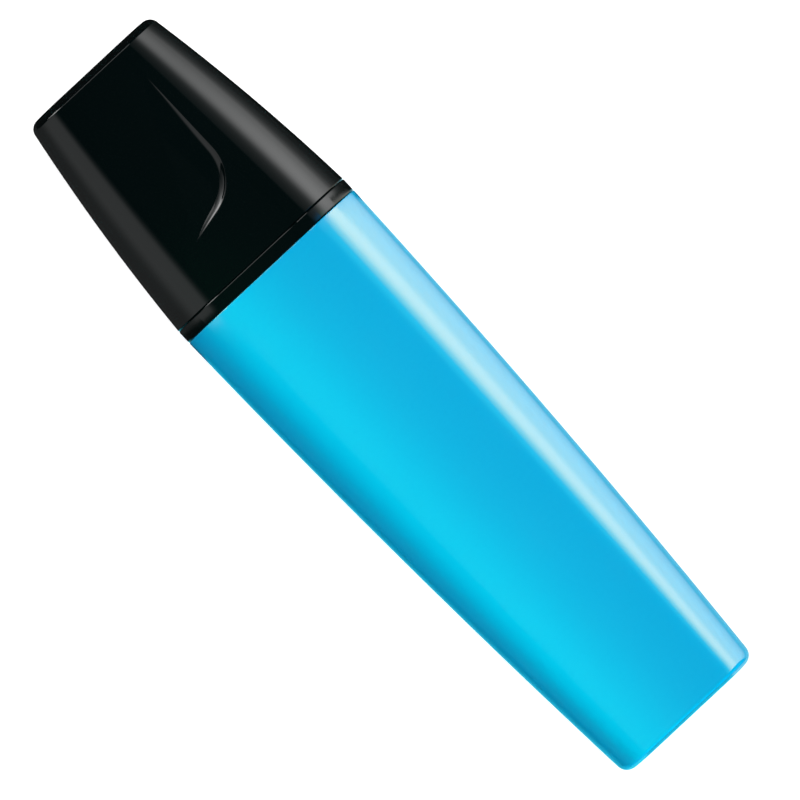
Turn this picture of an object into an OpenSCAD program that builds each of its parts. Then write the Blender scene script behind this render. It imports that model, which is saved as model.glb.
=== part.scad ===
// Flat capped highlighter with a chisel nib, lying on one of its two broad faces.
// The pen points along X with its cap towards +X, and stands on the plane z = 0.
// Lengths are in millimetres and angles in degrees.

/* [Pen outline] */
// Width of the pen where the barrel meets the collar
pen_width = 26.8; // [24:0.1:30]
// Thickness of the barrel between its broad faces
pen_thickness = 17; // [15.5:0.1:20]
// Depth of the rounded long sides, measured across the width at the collar
side_round = 5.2; // [3:0.1:7]
// Edge round at the mouth of the barrel, the collar and the rim of the cap
lip_round = 0.3; // [0.1:0.05:0.5]

/* [Barrel] */
// Length of the barrel from its rear end to the collar
barrel_length = 73.2; // [60:0.1:90]
// Width of the barrel at its rear end, before its corners are rounded
rear_width = 20.7; // [19:0.1:24]
// Depth of the rounded long sides at the rear end, measured across the width
rear_side_round = 3.6; // [2.5:0.1:5]
// Outward bow of each long side of the barrel
barrel_bow = 0.56; // [0:0.02:1.2]
// Corner radius of the rear end, seen on a broad face
rear_corner = 1.4; // [0.8:0.1:3]
// Height of the crown of the rear end
rear_crown = 0.5; // [0:0.05:0.8]
// Edge round between the rear end and the broad faces
rear_edge = 0.4; // [0.2:0.05:0.8]
// Wall of the barrel
barrel_wall = 1.4; // [1:0.1:1.8]
// Wall at the closed rear end
rear_wall = 1.8; // [1.2:0.1:2.5]
// Diameter of the gate dimple in the rear end
dimple_diameter = 3; // [1.5:0.1:5]
// Depth of the gate dimple
dimple_depth = 0.3; // [0.1:0.05:0.6]

/* [Ribs that hold the ink core] */
// Height of the two side ribs where the core ends
side_rib = 0.9; // [0.5:0.1:1.6]
// Height of the ribs on the broad walls
face_rib = 1.7; // [1.2:0.1:2.4]
// Thickness of every rib
rib_thickness = 1.2; // [0.8:0.1:1.8]
// Distance between the two ribs on a broad wall
rib_spacing = 6.4; // [4:0.1:9]
// Stand-off of the core from the closed rear end
core_seat = 3; // [1.5:0.1:6]
// Clearance round the wrapped core
core_fit = 0.1; // [0.05:0.01:0.25]
// Thickness of the film round the core
film = 0.15; // [0.1:0.01:0.3]
// Clearance between the film and the core
film_fit = 0.03; // [0.01:0.01:0.06]

/* [Front section] */
// Length of the collar ring that shows between barrel and cap
collar_length = 1.55; // [1:0.05:3]
// Length of the plug that is pushed into the barrel
plug_length = 9; // [6:0.1:12]
// Clearance of the plug in the barrel
plug_fit = 0.04; // [0.02:0.01:0.1]
// Wall of the plug, neck and webs
front_wall = 1.2; // [0.9:0.1:1.6]
// Length that the core reaches into the plug
core_entry = 4; // [2:0.1:6]
// Length of the neck that the cap slides on to
neck_length = 5; // [3.8:0.1:6.5]
// Height of the snap beads on the neck and inside the cap
snap_bead = 0.12; // [0.06:0.01:0.2]
// Clearance left when the two snap beads pass each other
snap_pass = 0.06; // [0.04:0.01:0.1]
// Distance of the neck's snap bead from the rim of the cap
snap_distance = 2.8; // [2.4:0.1:3.2]
// Ledge between the neck and the shoulder below the nib holder
shoulder_ledge = 1.3; // [0.8:0.1:2]
// Length of the shoulder
shoulder_length = 4; // [2.5:0.1:5]
// Length of the round seal at the foot of the nib holder
seal_length = 3.5; // [2:0.1:4.5]
// Amount by which the nib holder narrows on each side, from its seal to its tip
holder_taper = 0.65; // [0.3:0.05:1]
// Wall of the nib holder at the corners of the nib
holder_wall = 0.7; // [0.5:0.05:0.9]
// Radius of the air grooves beside the nib
vent_radius = 0.45; // [0.3:0.05:0.6]

/* [Nib] */
// Width of the nib
nib_width = 5; // [4:0.1:5.6]
// Thickness of the nib
nib_thickness = 3.6; // [3:0.1:4]
// Rounding along the nib's edges
nib_round = 0.8; // [0.3:0.1:1.2]
// Length of the nib outside its holder
nib_reach = 6.2; // [5:0.1:8]
// Depth of the nib's tail in the ink core
nib_tail = 6; // [3:0.1:12]
// Slant of the writing edge across the nib's width
chisel_angle = 30; // [15:1:40]
// Thickness of the writing edge
chisel_edge = 1.8; // [1:0.1:2.6]
// Length over which the nib thins to its writing edge
chisel_length = 2.6; // [1.5:0.1:4]
// Clearance of the nib in its holder and in the core
nib_fit = 0.05; // [0.02:0.01:0.1]

/* [Cap] */
// Length of the cap
cap_length = 30.1; // [27:0.1:36]
// Width of the cap at its end, before its corners are rounded
cap_end_width = 19.5; // [17:0.1:23]
// Thickness of the cap at its end
cap_end_thickness = 11; // [10:0.1:14]
// Depth of the rounded long sides at the cap's end, measured across the width
end_side_round = 3.6; // [2.5:0.1:5]
// Outward bow of each long side of the cap
cap_bow = 0.44; // [0:0.02:1]
// Corner radius of the cap's end, seen on a broad face
end_corner = 1.1; // [0.8:0.1:3]
// Height of the crown of the cap's end
end_crown = 0.7; // [0:0.05:0.75]
// Edge round between the cap's end and its broad faces
end_edge = 0.4; // [0.2:0.05:0.8]
// Wall of the cap
cap_wall = 1.5; // [1.2:0.1:1.8]
// Gap between the closed cap and the collar
rim_gap = 0.15; // [0.05:0.05:0.4]

/* [Thumb scoop] */
// Distance of the scoop's long edge from the middle of the broad face
scoop_offset = 4.6; // [3:0.1:5.5]
// Distance of the scoop's slanted end from the rim, on the middle line
scoop_start = 7.4; // [6:0.1:10]
// Slant of that end
scoop_slant = 13; // [0:1:30]
// Radius of the bend between the long edge and the slanted end
scoop_radius = 6.2; // [3:0.1:8]
// Depth at the corner that the bend rounds off
scoop_depth = 0.6; // [0.4:0.05:0.9]
// Slope of the scoop's wall, as its width for each millimetre of its depth
scoop_slope = 2; // [0.5:0.1:3]
// Length over which the long edge fades out
scoop_run = 18.4; // [14:0.1:20]
// Length over which the slanted end fades out
scoop_span = 9.4; // [7:0.1:11]

/* [Inner cap] */
// Wall of the inner cap
inner_cap_wall = 0.7; // [0.5:0.05:0.9]
// Clearance of the inner cap's seal round the nib holder
seal_clearance = 0.1; // [0.05:0.01:0.15]
// Clearance between the inner cap and what holds it in the cap
inner_cap_fit = 0.06; // [0.03:0.01:0.1]
// Room between the tip of the nib and the closed end of the inner cap
tip_room = 2.2; // [1:0.1:4]
// Length of the socket that holds the inner cap's closed end
socket_length = 3; // [1.5:0.1:5]
// Wall of that socket
socket_wall = 1; // [0.6:0.1:1.5]
// Distance between the two cradle ribs on a broad wall
cradle_spacing = 4.6; // [3:0.1:6]
// Thickness of the cradle ribs
cradle_thickness = 1.2; // [0.8:0.1:1.6]

/* [Hidden] */

$fn = 72;

// Steps of a long side's half ellipse, an end, a bowed length, a lip, the shoulder,
// the scoop's bend and the scoop's wall
side_steps = 18;
round_steps = 9;
length_steps = 8;
lip_steps = 3;
shoulder_steps = 5;
bend_steps = 10;
wall_steps = 4;

// Cutters reach this far past the faces that they cut
past = 1;

// Share of a crowned end that is flat, and length of a snap bead's flanks for each millimetre of its height
crown_flat = 0.5;
bead_flank = 3;

// Places along the pen, from the rear end of the barrel
core_rear = rear_wall + core_seat;
plug_start = barrel_length - plug_length;
core_front = plug_start + core_entry;
collar_front = barrel_length + collar_length;
cap_start = collar_front + rim_gap;
cap_end = cap_start + cap_length;
cap_floor = cap_end - cap_wall;
inner_cap_end = cap_floor - inner_cap_fit;
nib_tip = inner_cap_end - inner_cap_wall - tip_room;
holder_tip = nib_tip - nib_reach;
neck_front = collar_front + neck_length;
deck = neck_front - front_wall;
seal_start = neck_front + shoulder_length;
seal_end = seal_start + seal_length;
total_length = cap_end;

// Half widths of the broad faces' flats
collar_flat = pen_width / 2 - side_round;
rear_flat = rear_width / 2 - rear_side_round;
end_flat = cap_end_width / 2 - end_side_round;

// Sizes that follow from the fits
bead_half = bead_flank * snap_bead;
neck_clearance = 2 * snap_bead + snap_pass;
nib_corner = norm([nib_width / 2 - nib_round, nib_thickness / 2 - nib_round]) + nib_round;
holder_tip_radius = nib_corner + nib_fit + holder_wall;
seal_radius = holder_tip_radius + holder_taper;
inner_cap_bore = seal_radius + seal_clearance;
inner_cap_radius = inner_cap_bore + inner_cap_wall;
inner_cap_end_radius = cap_thickness(inner_cap_end) / 2 - cap_wall - inner_cap_fit;
channel_width = barrel_width(core_rear) - 2 * (barrel_wall + side_rib);
channel_thickness = pen_thickness - 2 * (barrel_wall + face_rib);
wrap_width = channel_width - 2 * core_fit;
wrap_thickness = channel_thickness - 2 * core_fit;
core_inset = film + film_fit;
core_width = wrap_width - 2 * core_inset;
core_thickness = wrap_thickness - 2 * core_inset;

function lerp(a, b, f) = a + (b - a) * f;
function bowed(a, b, bow, f) = lerp(a, b, f) + 8 * bow * f * (1 - f);

function barrel_width(x) = bowed(rear_width, pen_width, barrel_bow, x / barrel_length);
function barrel_flat(x) = lerp(rear_flat, collar_flat, x / barrel_length);
function cap_share(x) = (x - cap_start) / cap_length;
function cap_width(x) = bowed(pen_width, cap_end_width, cap_bow, cap_share(x));
function cap_flat(x) = lerp(collar_flat, end_flat, cap_share(x));
function cap_thickness(x) = lerp(pen_thickness, cap_end_thickness, cap_share(x));

// One ring of points across the pen: flat broad faces joined by half-elliptical sides.
// The share of its width that is flat is the same inside the walls as outside.
function section(x, width, thickness, share = 2 * collar_flat / pen_width) =
    let (flat = share * width / 2)
    let (side = width / 2 - flat)
    [for (way = [1, -1])
        for (i = [0 : side_steps])
            let (a = lerp(-90, 90, i / side_steps))
            [x, way * (flat + side * cos(a)), way * thickness / 2 * sin(a)]];

function barrel_section(x, inset, face_inset) =
    let (share = 2 * barrel_flat(x) / barrel_width(x))
    section(x, barrel_width(x) - 2 * inset, pen_thickness - 2 * face_inset, share);

function cap_section(x, inset, face_inset) =
    let (share = 2 * cap_flat(x) / cap_width(x))
    section(x, cap_width(x) - 2 * inset, cap_thickness(x) - 2 * face_inset, share);

// Depth of an end round of radius r, and how far it draws the outline in, at angle a
function round_depth(r, a) = r * (1 - sin(a));
function round_inset(r, a) = r * (1 - cos(a));

// How far a corner of radius r draws the outline in, at a depth from the end
function corner_inset(r, depth) = depth < r ? r - sqrt(r * r - (r - depth) ^ 2) : 0;

// How far a crowned end with a rounded edge lies below a broad face, at a depth from the end
function crown_inset(half, crown, edge, depth) =
    depth < crown
        ? half - (half - edge) * sqrt(lerp(crown_flat ^ 2, 1, depth / crown))
        : corner_inset(edge, depth - crown);

// Solid through rings of equal count, each turning left as seen from the last one
module loft(rings) {
    count = len(rings[0]);
    last = len(rings) - 1;
    first_face = [for (i = [0 : count - 1]) i];
    last_face = [for (i = [count - 1 : -1 : 0]) last * count + i];
    walls = [for (k = [0 : last - 1])
        for (i = [0 : count - 1])
            let (j = (i + 1) % count)
            let (low = k * count)
            let (high = low + count)
            each [[low + i, high + i, high + j], [low + i, high + j, low + j]]];
    polyhedron(points = [for (ring = rings) each ring], faces = concat([first_face, last_face], walls));
}

// Moves the pen from its rear end on its axis to the middle of the face that it lies on
module lay_down() {
    translate([-total_length / 2, 0, pen_thickness / 2]) children();
}

// Extrudes a flat outline, drawn across the pen, from one place along the pen to another
module along(from, to) {
    translate([from, 0, 0]) rotate([90, 0, 90]) linear_extrude(to - from) children();
}

// Turns an outline of [radius, place along the pen] round the pen's axis
module turned(points) {
    rotate([0, 90, 0]) rotate_extrude() polygon(points);
}

module stadium(width, thickness) {
    middle = width - thickness;
    square([middle, thickness], center = true);
    for (way = [-1, 1]) translate([way * middle / 2, 0]) circle(d = thickness);
}

module rounded_bar(width, thickness, radius) {
    square([width - 2 * radius, thickness], center = true);
    square([width, thickness - 2 * radius], center = true);
    for (a = [-1, 1])
        for (b = [-1, 1])
            translate([a * (width / 2 - radius), b * (thickness / 2 - radius)]) circle(r = radius);
}

module nib_bar(clearance) {
    rounded_bar(nib_width + 2 * clearance, nib_thickness + 2 * clearance, nib_round + clearance);
}

// Barrel

module barrel_shell() {
    rear_reach = max(rear_corner, rear_crown + rear_edge);
    half = pen_thickness / 2;
    rear = [for (i = [round_steps : -1 : 0])
        let (x = round_depth(rear_reach, 90 * i / round_steps))
        barrel_section(x, corner_inset(rear_corner, x), crown_inset(half, rear_crown, rear_edge, x))];
    sides = [for (i = [1 : length_steps])
        barrel_section(lerp(rear_reach, barrel_length - lip_round, i / length_steps), 0, 0)];
    mouth = [for (i = [1 : lip_steps])
        let (a = 90 * i / lip_steps)
        let (inset = round_inset(lip_round, a))
        barrel_section(barrel_length - round_depth(lip_round, a), inset, inset)];
    loft(concat(rear, sides, mouth));
}

module barrel_cavity() {
    loft([for (i = [0 : length_steps])
        barrel_section(lerp(rear_wall, barrel_length + past, i / length_steps), barrel_wall, barrel_wall)]);
}

// Ribs along the barrel, which step in behind the core to seat it
module core_ribs() {
    length = plug_start - core_fit - rear_wall;
    difference() {
        translate([rear_wall, 0, 0]) {
            for (way = [-1, 1])
                translate([0, way * rib_spacing / 2 - rib_thickness / 2, -pen_thickness / 2])
                    cube([length, rib_thickness, pen_thickness]);
            translate([0, -pen_width / 2, -rib_thickness / 2])
                cube([length, pen_width, rib_thickness]);
        }
        along(core_rear, barrel_length) stadium(channel_width, channel_thickness);
    }
}

module barrel() {
    color("deepskyblue") lay_down()
        difference() {
            barrel_shell();
            difference() {
                barrel_cavity();
                core_ribs();
            }
            along(-past, dimple_depth) circle(d = dimple_diameter);
        }
}

// Front section

// Plug, collar and neck in one run of rings, with the snap bead round the neck
module plug_collar_neck() {
    plug_inset = barrel_wall + plug_fit;
    neck_inset = cap_wall + neck_clearance;
    bead = cap_start + snap_distance;
    plug = [for (i = [0 : 2])
        barrel_section(lerp(plug_start, barrel_length, i / 2), plug_inset, plug_inset)];
    collar = concat(
        [section(barrel_length, pen_width - 2 * lip_round, pen_thickness - 2 * lip_round),
         section(barrel_length + lip_round, pen_width, pen_thickness)],
        [for (i = [0 : lip_steps])
            let (a = 90 * i / lip_steps)
            let (inset = 2 * round_inset(lip_round, a))
            section(collar_front - round_depth(lip_round, a), pen_width - inset, pen_thickness - inset)]);
    neck = concat(
        [cap_section(collar_front, neck_inset, neck_inset)],
        [for (i = [-1 : 1])
            let (inset = neck_inset - (i == 0 ? snap_bead : 0))
            cap_section(bead + i * bead_half, inset, inset)],
        [for (i = [0 : lip_steps])
            let (a = 90 * i / lip_steps)
            let (inset = neck_inset + round_inset(lip_round, a))
            cap_section(neck_front - round_depth(lip_round, a), inset, inset)]);
    loft(concat(plug, collar, neck));
}

// Shoulder that draws the flat neck in to the round nib holder in an S-curve
module shoulder() {
    inset = cap_wall + neck_clearance + shoulder_ledge;
    base_width = cap_width(neck_front) - 2 * inset;
    base_thickness = cap_thickness(neck_front) - 2 * inset;
    top = 2 * seal_radius * cos(45);
    loft([for (i = [0 : shoulder_steps])
        let (f = i / shoulder_steps)
        let (ease = f * f * (3 - 2 * f))
        section(lerp(deck, seal_start, f), lerp(base_width, top, ease), lerp(base_thickness, top, ease))]);
}

module nib_holder() {
    turned([
        [0, deck],
        [seal_radius, deck],
        [seal_radius, seal_end],
        [holder_tip_radius, holder_tip - lip_round],
        [holder_tip_radius - lip_round, holder_tip],
        [0, holder_tip]]);
}

module front_cavity() {
    plug_inset = barrel_wall + plug_fit + front_wall;
    neck_inset = cap_wall + neck_clearance + front_wall;
    loft([
        barrel_section(plug_start - past, plug_inset, plug_inset),
        barrel_section(barrel_length, plug_inset, plug_inset),
        cap_section(collar_front, neck_inset, neck_inset),
        cap_section(deck, neck_inset, neck_inset)]);
}

// Tube round the nib's tail with a cross of webs, which also stop the core
module tail_guide() {
    from = core_front + core_fit;
    length = deck - from + front_wall / 2;
    along(from, from + length) circle(r = holder_tip_radius);
    translate([from, -pen_width / 2, -front_wall / 2]) cube([length, pen_width, front_wall]);
    translate([from, -front_wall / 2, -pen_thickness / 2]) cube([length, front_wall, pen_thickness]);
}

// Seat for the nib with an air groove along each broad side
module nib_seat() {
    along(core_front - past, holder_tip + past) {
        nib_bar(nib_fit);
        for (way = [-1, 1]) translate([0, way * (nib_thickness / 2 + nib_fit)]) circle(r = vent_radius);
    }
}

module front_section() {
    color("#15181a") lay_down()
        difference() {
            union() {
                plug_collar_neck();
                shoulder();
                nib_holder();
            }
            difference() {
                front_cavity();
                tail_guide();
            }
            nib_seat();
        }
}

// Nib and ink

// Bar cut to a slanted writing edge at the tip and to a blunt wedge at the tail
module nib() {
    tail = core_front - nib_tail;
    slant = nib_width * tan(chisel_angle);
    half_width = nib_width / 2 + past;
    half_thickness = nib_thickness / 2;
    half_edge = chisel_edge / 2;
    overrun = past * tan(chisel_angle);
    color("#8fd4e4") lay_down()
        intersection() {
            along(tail, nib_tip) nib_bar(0);
            linear_extrude(nib_thickness + past, center = true)
                polygon([
                    [tail, -half_width],
                    [nib_tip - slant - overrun, -half_width],
                    [nib_tip + overrun, half_width],
                    [tail, half_width]]);
            rotate([90, 0, 0]) linear_extrude(nib_width + past, center = true)
                polygon([
                    [tail, -half_edge],
                    [tail + chisel_length, -half_thickness],
                    [nib_tip - slant - chisel_length, -half_thickness],
                    [nib_tip, -half_edge],
                    [nib_tip, half_edge],
                    [nib_tip - slant - chisel_length, half_thickness],
                    [tail + chisel_length, half_thickness],
                    [tail, half_edge]]);
        }
}

module ink_reservoir() {
    color("#5fc8ea") lay_down()
        difference() {
            along(core_rear, core_front) stadium(core_width, core_thickness);
            along(core_front - nib_tail - nib_fit, core_front + past) nib_bar(nib_fit);
        }
}

module reservoir_wrap() {
    color("#dfe9ec") lay_down()
        difference() {
            along(core_rear, core_front) stadium(wrap_width, wrap_thickness);
            along(core_rear - past, core_front + past)
                stadium(core_width + 2 * film_fit, core_thickness + 2 * film_fit);
        }
}

// Cap

module cap_shell() {
    rim = [for (i = [lip_steps : -1 : 0])
        let (a = 90 * i / lip_steps)
        let (inset = round_inset(lip_round, a))
        cap_section(cap_start + round_depth(lip_round, a), inset, inset)];
    end_reach = max(end_corner, end_crown + end_edge);
    sides = [for (i = [1 : length_steps])
        cap_section(lerp(cap_start + lip_round, cap_end - end_reach, i / length_steps), 0, 0)];
    end = [for (i = [1 : round_steps])
        let (depth = round_depth(end_reach, 90 * i / round_steps))
        let (x = cap_end - depth)
        let (half = cap_thickness(x) / 2)
        cap_section(x, corner_inset(end_corner, depth), crown_inset(half, end_crown, end_edge, depth))];
    loft(concat(rim, sides, end));
}

// Hollow of the cap, with the snap bead just inside its rim
module cap_cavity() {
    bead = cap_start + snap_distance - 2 * bead_half;
    mouth = concat(
        [cap_section(cap_start - past, cap_wall, cap_wall)],
        [for (i = [-1 : 1])
            let (inset = cap_wall + (i == 0 ? snap_bead : 0))
            cap_section(bead + i * bead_half, inset, inset)]);
    sides = [for (i = [1 : length_steps])
        cap_section(lerp(bead + bead_half, cap_floor, i / length_steps), cap_wall, cap_wall)];
    loft(concat(mouth, sides));
}

// Space that the inner cap takes, with clearance round it
module inner_cap_envelope() {
    turned([
        [0, seal_start],
        [inner_cap_radius + inner_cap_fit, seal_start],
        [inner_cap_radius + inner_cap_fit, seal_end],
        [inner_cap_end_radius + inner_cap_fit, inner_cap_end + inner_cap_fit],
        [0, inner_cap_end + inner_cap_fit]]);
}

// Socket for the inner cap's closed end, and cradle ribs on the broad walls
module inner_cap_holder() {
    difference() {
        union() {
            along(inner_cap_end - socket_length, cap_end)
                circle(r = inner_cap_end_radius + inner_cap_fit + socket_wall);
            for (way = [-1, 1])
                translate([seal_end, way * cradle_spacing / 2 - cradle_thickness / 2, -pen_thickness / 2])
                    cube([cap_end - seal_end, cradle_thickness, pen_thickness]);
        }
        inner_cap_envelope();
    }
}

// Cutter for one thumb scoop: its floor dips away from the broad face towards the bend,
// and its wall runs up from the floor in a hollow curve to a crisp edge
module scoop() {
    corner = [scoop_start + scoop_offset * tan(scoop_slant), -scoop_offset];
    run = [1, 0];
    span = [-sin(scoop_slant), cos(scoop_slant)];
    turn = 90 - scoop_slant;
    centre = corner + [scoop_radius * tan(turn / 2), scoop_radius];
    fade_out = 1.1;
    bend = [for (i = [bend_steps : -1 : 0]) turn * i / bend_steps];
    ways_in = concat(
        [[sin(turn), cos(turn)]],
        [for (a = bend) [sin(a), cos(a)]],
        [[0, 1]]);
    outline = concat(
        [corner + fade_out * scoop_span * span],
        [for (a = bend) centre - scoop_radius * [sin(a), cos(a)]],
        [corner + fade_out * scoop_run * run]);
    function face_height(p) = cap_thickness(cap_start + p.x) / 2;
    function depth(p) =
        let (b = (p - corner).y / cos(scoop_slant))
        let (a = (p - corner).x + b * sin(scoop_slant))
        scoop_depth * (1 - a / scoop_run - b / scoop_span);
    function wall_ring(share) = [for (i = [0 : len(outline) - 1])
        let (width = scoop_slope * max(depth(outline[i]), 0))
        let (p = outline[i] + (1 - share) * width * ways_in[i])
        [cap_start + p.x, p.y, face_height(p) - (1 - share * share) * depth(p)]];
    top = [for (p = outline) [cap_start + p.x, p.y, face_height(p) + past]];
    loft(concat([for (i = [0 : wall_steps]) wall_ring(i / wall_steps)], [top]));
}

module cap() {
    color("#15181a") lay_down()
        difference() {
            cap_shell();
            difference() {
                cap_cavity();
                inner_cap_holder();
            }
            scoop();
            rotate([180, 0, 0]) scoop();
        }
}

// Sleeve that closes round the nib holder, with a lead-in at its mouth
module inner_cap() {
    mouth = seal_start + inner_cap_fit;
    lead_in = inner_cap_wall / 2;
    closed = inner_cap_end - inner_cap_wall;
    color("#24282b") lay_down()
        turned([
            [inner_cap_bore + lead_in, mouth],
            [inner_cap_radius, mouth],
            [inner_cap_radius, seal_end],
            [inner_cap_end_radius, inner_cap_end],
            [0, inner_cap_end],
            [0, closed],
            [inner_cap_end_radius - inner_cap_wall, closed],
            [inner_cap_bore, seal_end],
            [inner_cap_bore, mouth + lead_in]]);
}

barrel();
front_section();
nib();
ink_reservoir();
reservoir_wrap();
cap();
inner_cap();
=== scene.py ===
"""Looks of a flat capped highlighter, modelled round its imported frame.

Every piece is modelled in millimetres on the pen's own axis, with x counted from the rear end of the
barrel, and is then laid in the frame, which is in metres.
"""

import logging
import math
from dataclasses import dataclass, field
from enum import Enum
from typing import Any, Callable, Iterable

import bmesh
import bpy
from bmesh.types import BMEdge, BMesh, BMFace, BMVert
from mathutils import Matrix, Vector


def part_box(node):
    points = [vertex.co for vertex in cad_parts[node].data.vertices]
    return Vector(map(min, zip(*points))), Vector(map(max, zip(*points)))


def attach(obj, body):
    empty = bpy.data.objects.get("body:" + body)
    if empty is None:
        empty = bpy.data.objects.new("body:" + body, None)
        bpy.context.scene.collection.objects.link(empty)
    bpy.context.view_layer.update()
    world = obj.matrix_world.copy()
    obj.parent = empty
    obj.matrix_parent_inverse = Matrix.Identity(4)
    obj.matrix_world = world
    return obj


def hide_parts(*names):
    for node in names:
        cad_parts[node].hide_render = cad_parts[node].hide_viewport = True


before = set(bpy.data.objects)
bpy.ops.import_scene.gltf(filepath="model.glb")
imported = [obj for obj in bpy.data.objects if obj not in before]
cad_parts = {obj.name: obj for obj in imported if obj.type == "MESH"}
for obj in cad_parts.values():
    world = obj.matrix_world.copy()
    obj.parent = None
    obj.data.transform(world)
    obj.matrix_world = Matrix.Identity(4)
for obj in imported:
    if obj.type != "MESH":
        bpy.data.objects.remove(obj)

LOG = logging.getLogger("highlighter")
MM = 0.001

# Distances in millimetres within which vertices touch, and within which they lie on a broad face
TOUCHING = 1e-4
ON_FACE = 1e-3

# Turn in degrees past which an edge is shaded as a sharp one
SHARP_TURN = 40

Colour = tuple[float, float, float]
Point = tuple[float, float, float]
Curve = tuple[tuple[float, float], ...]

WHITE = (1.0, 1.0, 1.0)


class Body(Enum):
    """The bodies of the frame that a piece can ride on."""

    PEN = "pen"
    CAP = "cap"


class Face(Enum):
    """The two broad faces of the pen, as the way that each looks along Z."""

    UPPER = 1
    UNDER = -1


def lerp(start: float, end: float, share: float) -> float:
    """Gives the value at a share of the way from start to end."""
    return start + (end - start) * share


def steps(start: float, end: float, count: int) -> list[float]:
    """Gives count values after start, evenly spaced, the last of which is end."""
    return [lerp(start, end, i / count) for i in range(1, count + 1)]


def ease(share: float) -> float:
    """Gives a share that starts and ends gently."""
    return share * share * (3 - 2 * share)


def bow(height: float, share: float) -> float:
    """Gives how far a bowed edge of that height stands out at a share of its length."""
    return 4 * height * share * (1 - share)


def extend(bm: BMesh, vert: BMVert, places: Iterable[Any]) -> BMVert:
    """Draws straight edges from a vertex through places in turn.

    Args:
        bm: Mesh that they are drawn in.
        vert: Vertex to start from.
        places: Where each edge ends.

    Returns:
        The last vertex.
    """
    for place in places:
        vert = bmesh.ops.extrude_vert_indiv(bm, verts=[vert])["verts"][0]
        bmesh.ops.translate(bm, vec=Vector(place) - vert.co, verts=[vert])
    return vert


# Shape of the pen


@dataclass(frozen=True)
class Ring:
    """One ring of a shell: its place along the pen, and its half sizes and half flat across it.

    Its sides are round with a power of 2, and start more softly from the flats with a higher power.
    """

    x: float
    half_width: float
    half_thickness: float
    flat: float = 0.0
    power: float = 2.0

    @property
    def side(self) -> float:
        """Depth of the rounded side."""
        return self.half_width - self.flat


@dataclass(frozen=True)
class PenForm:
    """Outline that barrel, collar and cap share, measured from the frame where the frame shows it."""

    rear: float
    axis: float
    width: float
    thickness: float
    barrel_end: float
    cap_start: float
    cap_end: float
    side_round: float = 7.5
    rear_side_round: float = 4.45
    end_side_round: float = 5.3
    side_power: float = 3.0
    rear_width: float = 20.7
    barrel_bow: float = 0.56
    cap_end_width: float = 19.5
    cap_end_thickness: float = 11.0
    cap_bow: float = 0.44
    lip_round: float = 0.24
    rim_advance: float = 0.18
    rim_gap: float = 0.03
    barrel_wall: float = 1.4
    cap_wall: float = 1.5
    snap_bead: float = 0.12
    snap_pass: float = 0.06
    snap_distance: float = 2.8

    @classmethod
    def from_frame(cls) -> "PenForm":
        """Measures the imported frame.

        Returns:
            The form of the pen that the frame holds.
        """
        low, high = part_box("front_section")
        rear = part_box("barrel")[0].x
        cap_low, cap_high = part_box("cap")
        return cls(
            rear=rear,
            axis=(low.z + high.z) / 2,
            width=(high.y - low.y) / MM,
            thickness=(high.z - low.z) / MM,
            barrel_end=(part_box("barrel")[1].x - rear) / MM,
            cap_start=(cap_low.x - rear) / MM,
            cap_end=(cap_high.x - rear) / MM,
        )

    @property
    def collar_flat(self) -> float:
        """Half width of the flats at the collar."""
        return self.width / 2 - self.side_round

    @property
    def rim(self) -> float:
        """Place of the cap's rim."""
        return self.cap_start + self.rim_advance

    @property
    def collar_end(self) -> float:
        """Place of the collar's front edge."""
        return self.rim - self.rim_gap

    @property
    def bead_half(self) -> float:
        """Half length of a snap bead."""
        return 3 * self.snap_bead

    @property
    def neck_inset(self) -> float:
        """Distance of the neck from the outside of the cap."""
        return self.cap_wall + 2 * self.snap_bead + self.snap_pass

    def reach(self, node: str) -> tuple[float, float]:
        """Gives where a node of the frame starts and ends along the pen.

        Args:
            node: Name of the node.

        Returns:
            Its start and end in millimetres from the rear end.
        """
        low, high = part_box(node)
        return (low.x - self.rear) / MM, (high.x - self.rear) / MM

    def section(self, x: float, width: float, thickness: float, flat_share: float) -> Ring:
        """Gives the ring of the pen's flat section with these full sizes and flat share of its width."""
        return Ring(x, width / 2, thickness / 2, flat_share * width / 2, self.side_power)

    def barrel_ring(self, x: float, inset: float = 0.0, face_inset: float | None = None) -> Ring:
        """Gives a ring of the barrel.

        Args:
            x: Place along the pen.
            inset: Distance inside the outline on the long sides.
            face_inset: The same on the broad faces, where it differs.

        Returns:
            The ring there.
        """
        share = x / self.barrel_end
        width = lerp(self.rear_width, self.width, share) + 2 * bow(self.barrel_bow, share)
        flat = lerp(self.rear_width / 2 - self.rear_side_round, self.collar_flat, share)
        drop = inset if face_inset is None else face_inset
        return self.section(x, width - 2 * inset, self.thickness - 2 * drop, 2 * flat / width)

    def cap_ring(self, x: float, inset: float = 0.0, face_inset: float | None = None) -> Ring:
        """Gives a ring of the cap.

        Args:
            x: Place along the pen.
            inset: Distance inside the outline on the long sides.
            face_inset: The same on the broad faces, where it differs.

        Returns:
            The ring there.
        """
        share = (x - self.cap_start) / (self.cap_end - self.cap_start)
        width = lerp(self.width, self.cap_end_width, share) + 2 * bow(self.cap_bow, share)
        thickness = lerp(self.thickness, self.cap_end_thickness, share)
        flat = lerp(self.collar_flat, self.cap_end_width / 2 - self.end_side_round, share)
        drop = inset if face_inset is None else face_inset
        return self.section(x, width - 2 * inset, thickness - 2 * drop, 2 * flat / width)

    def collar_ring(self, x: float, inset: float = 0.0) -> Ring:
        """Gives a ring of the collar."""
        flat_share = 2 * self.collar_flat / self.width
        return self.section(x, self.width - 2 * inset, self.thickness - 2 * inset, flat_share)


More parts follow.
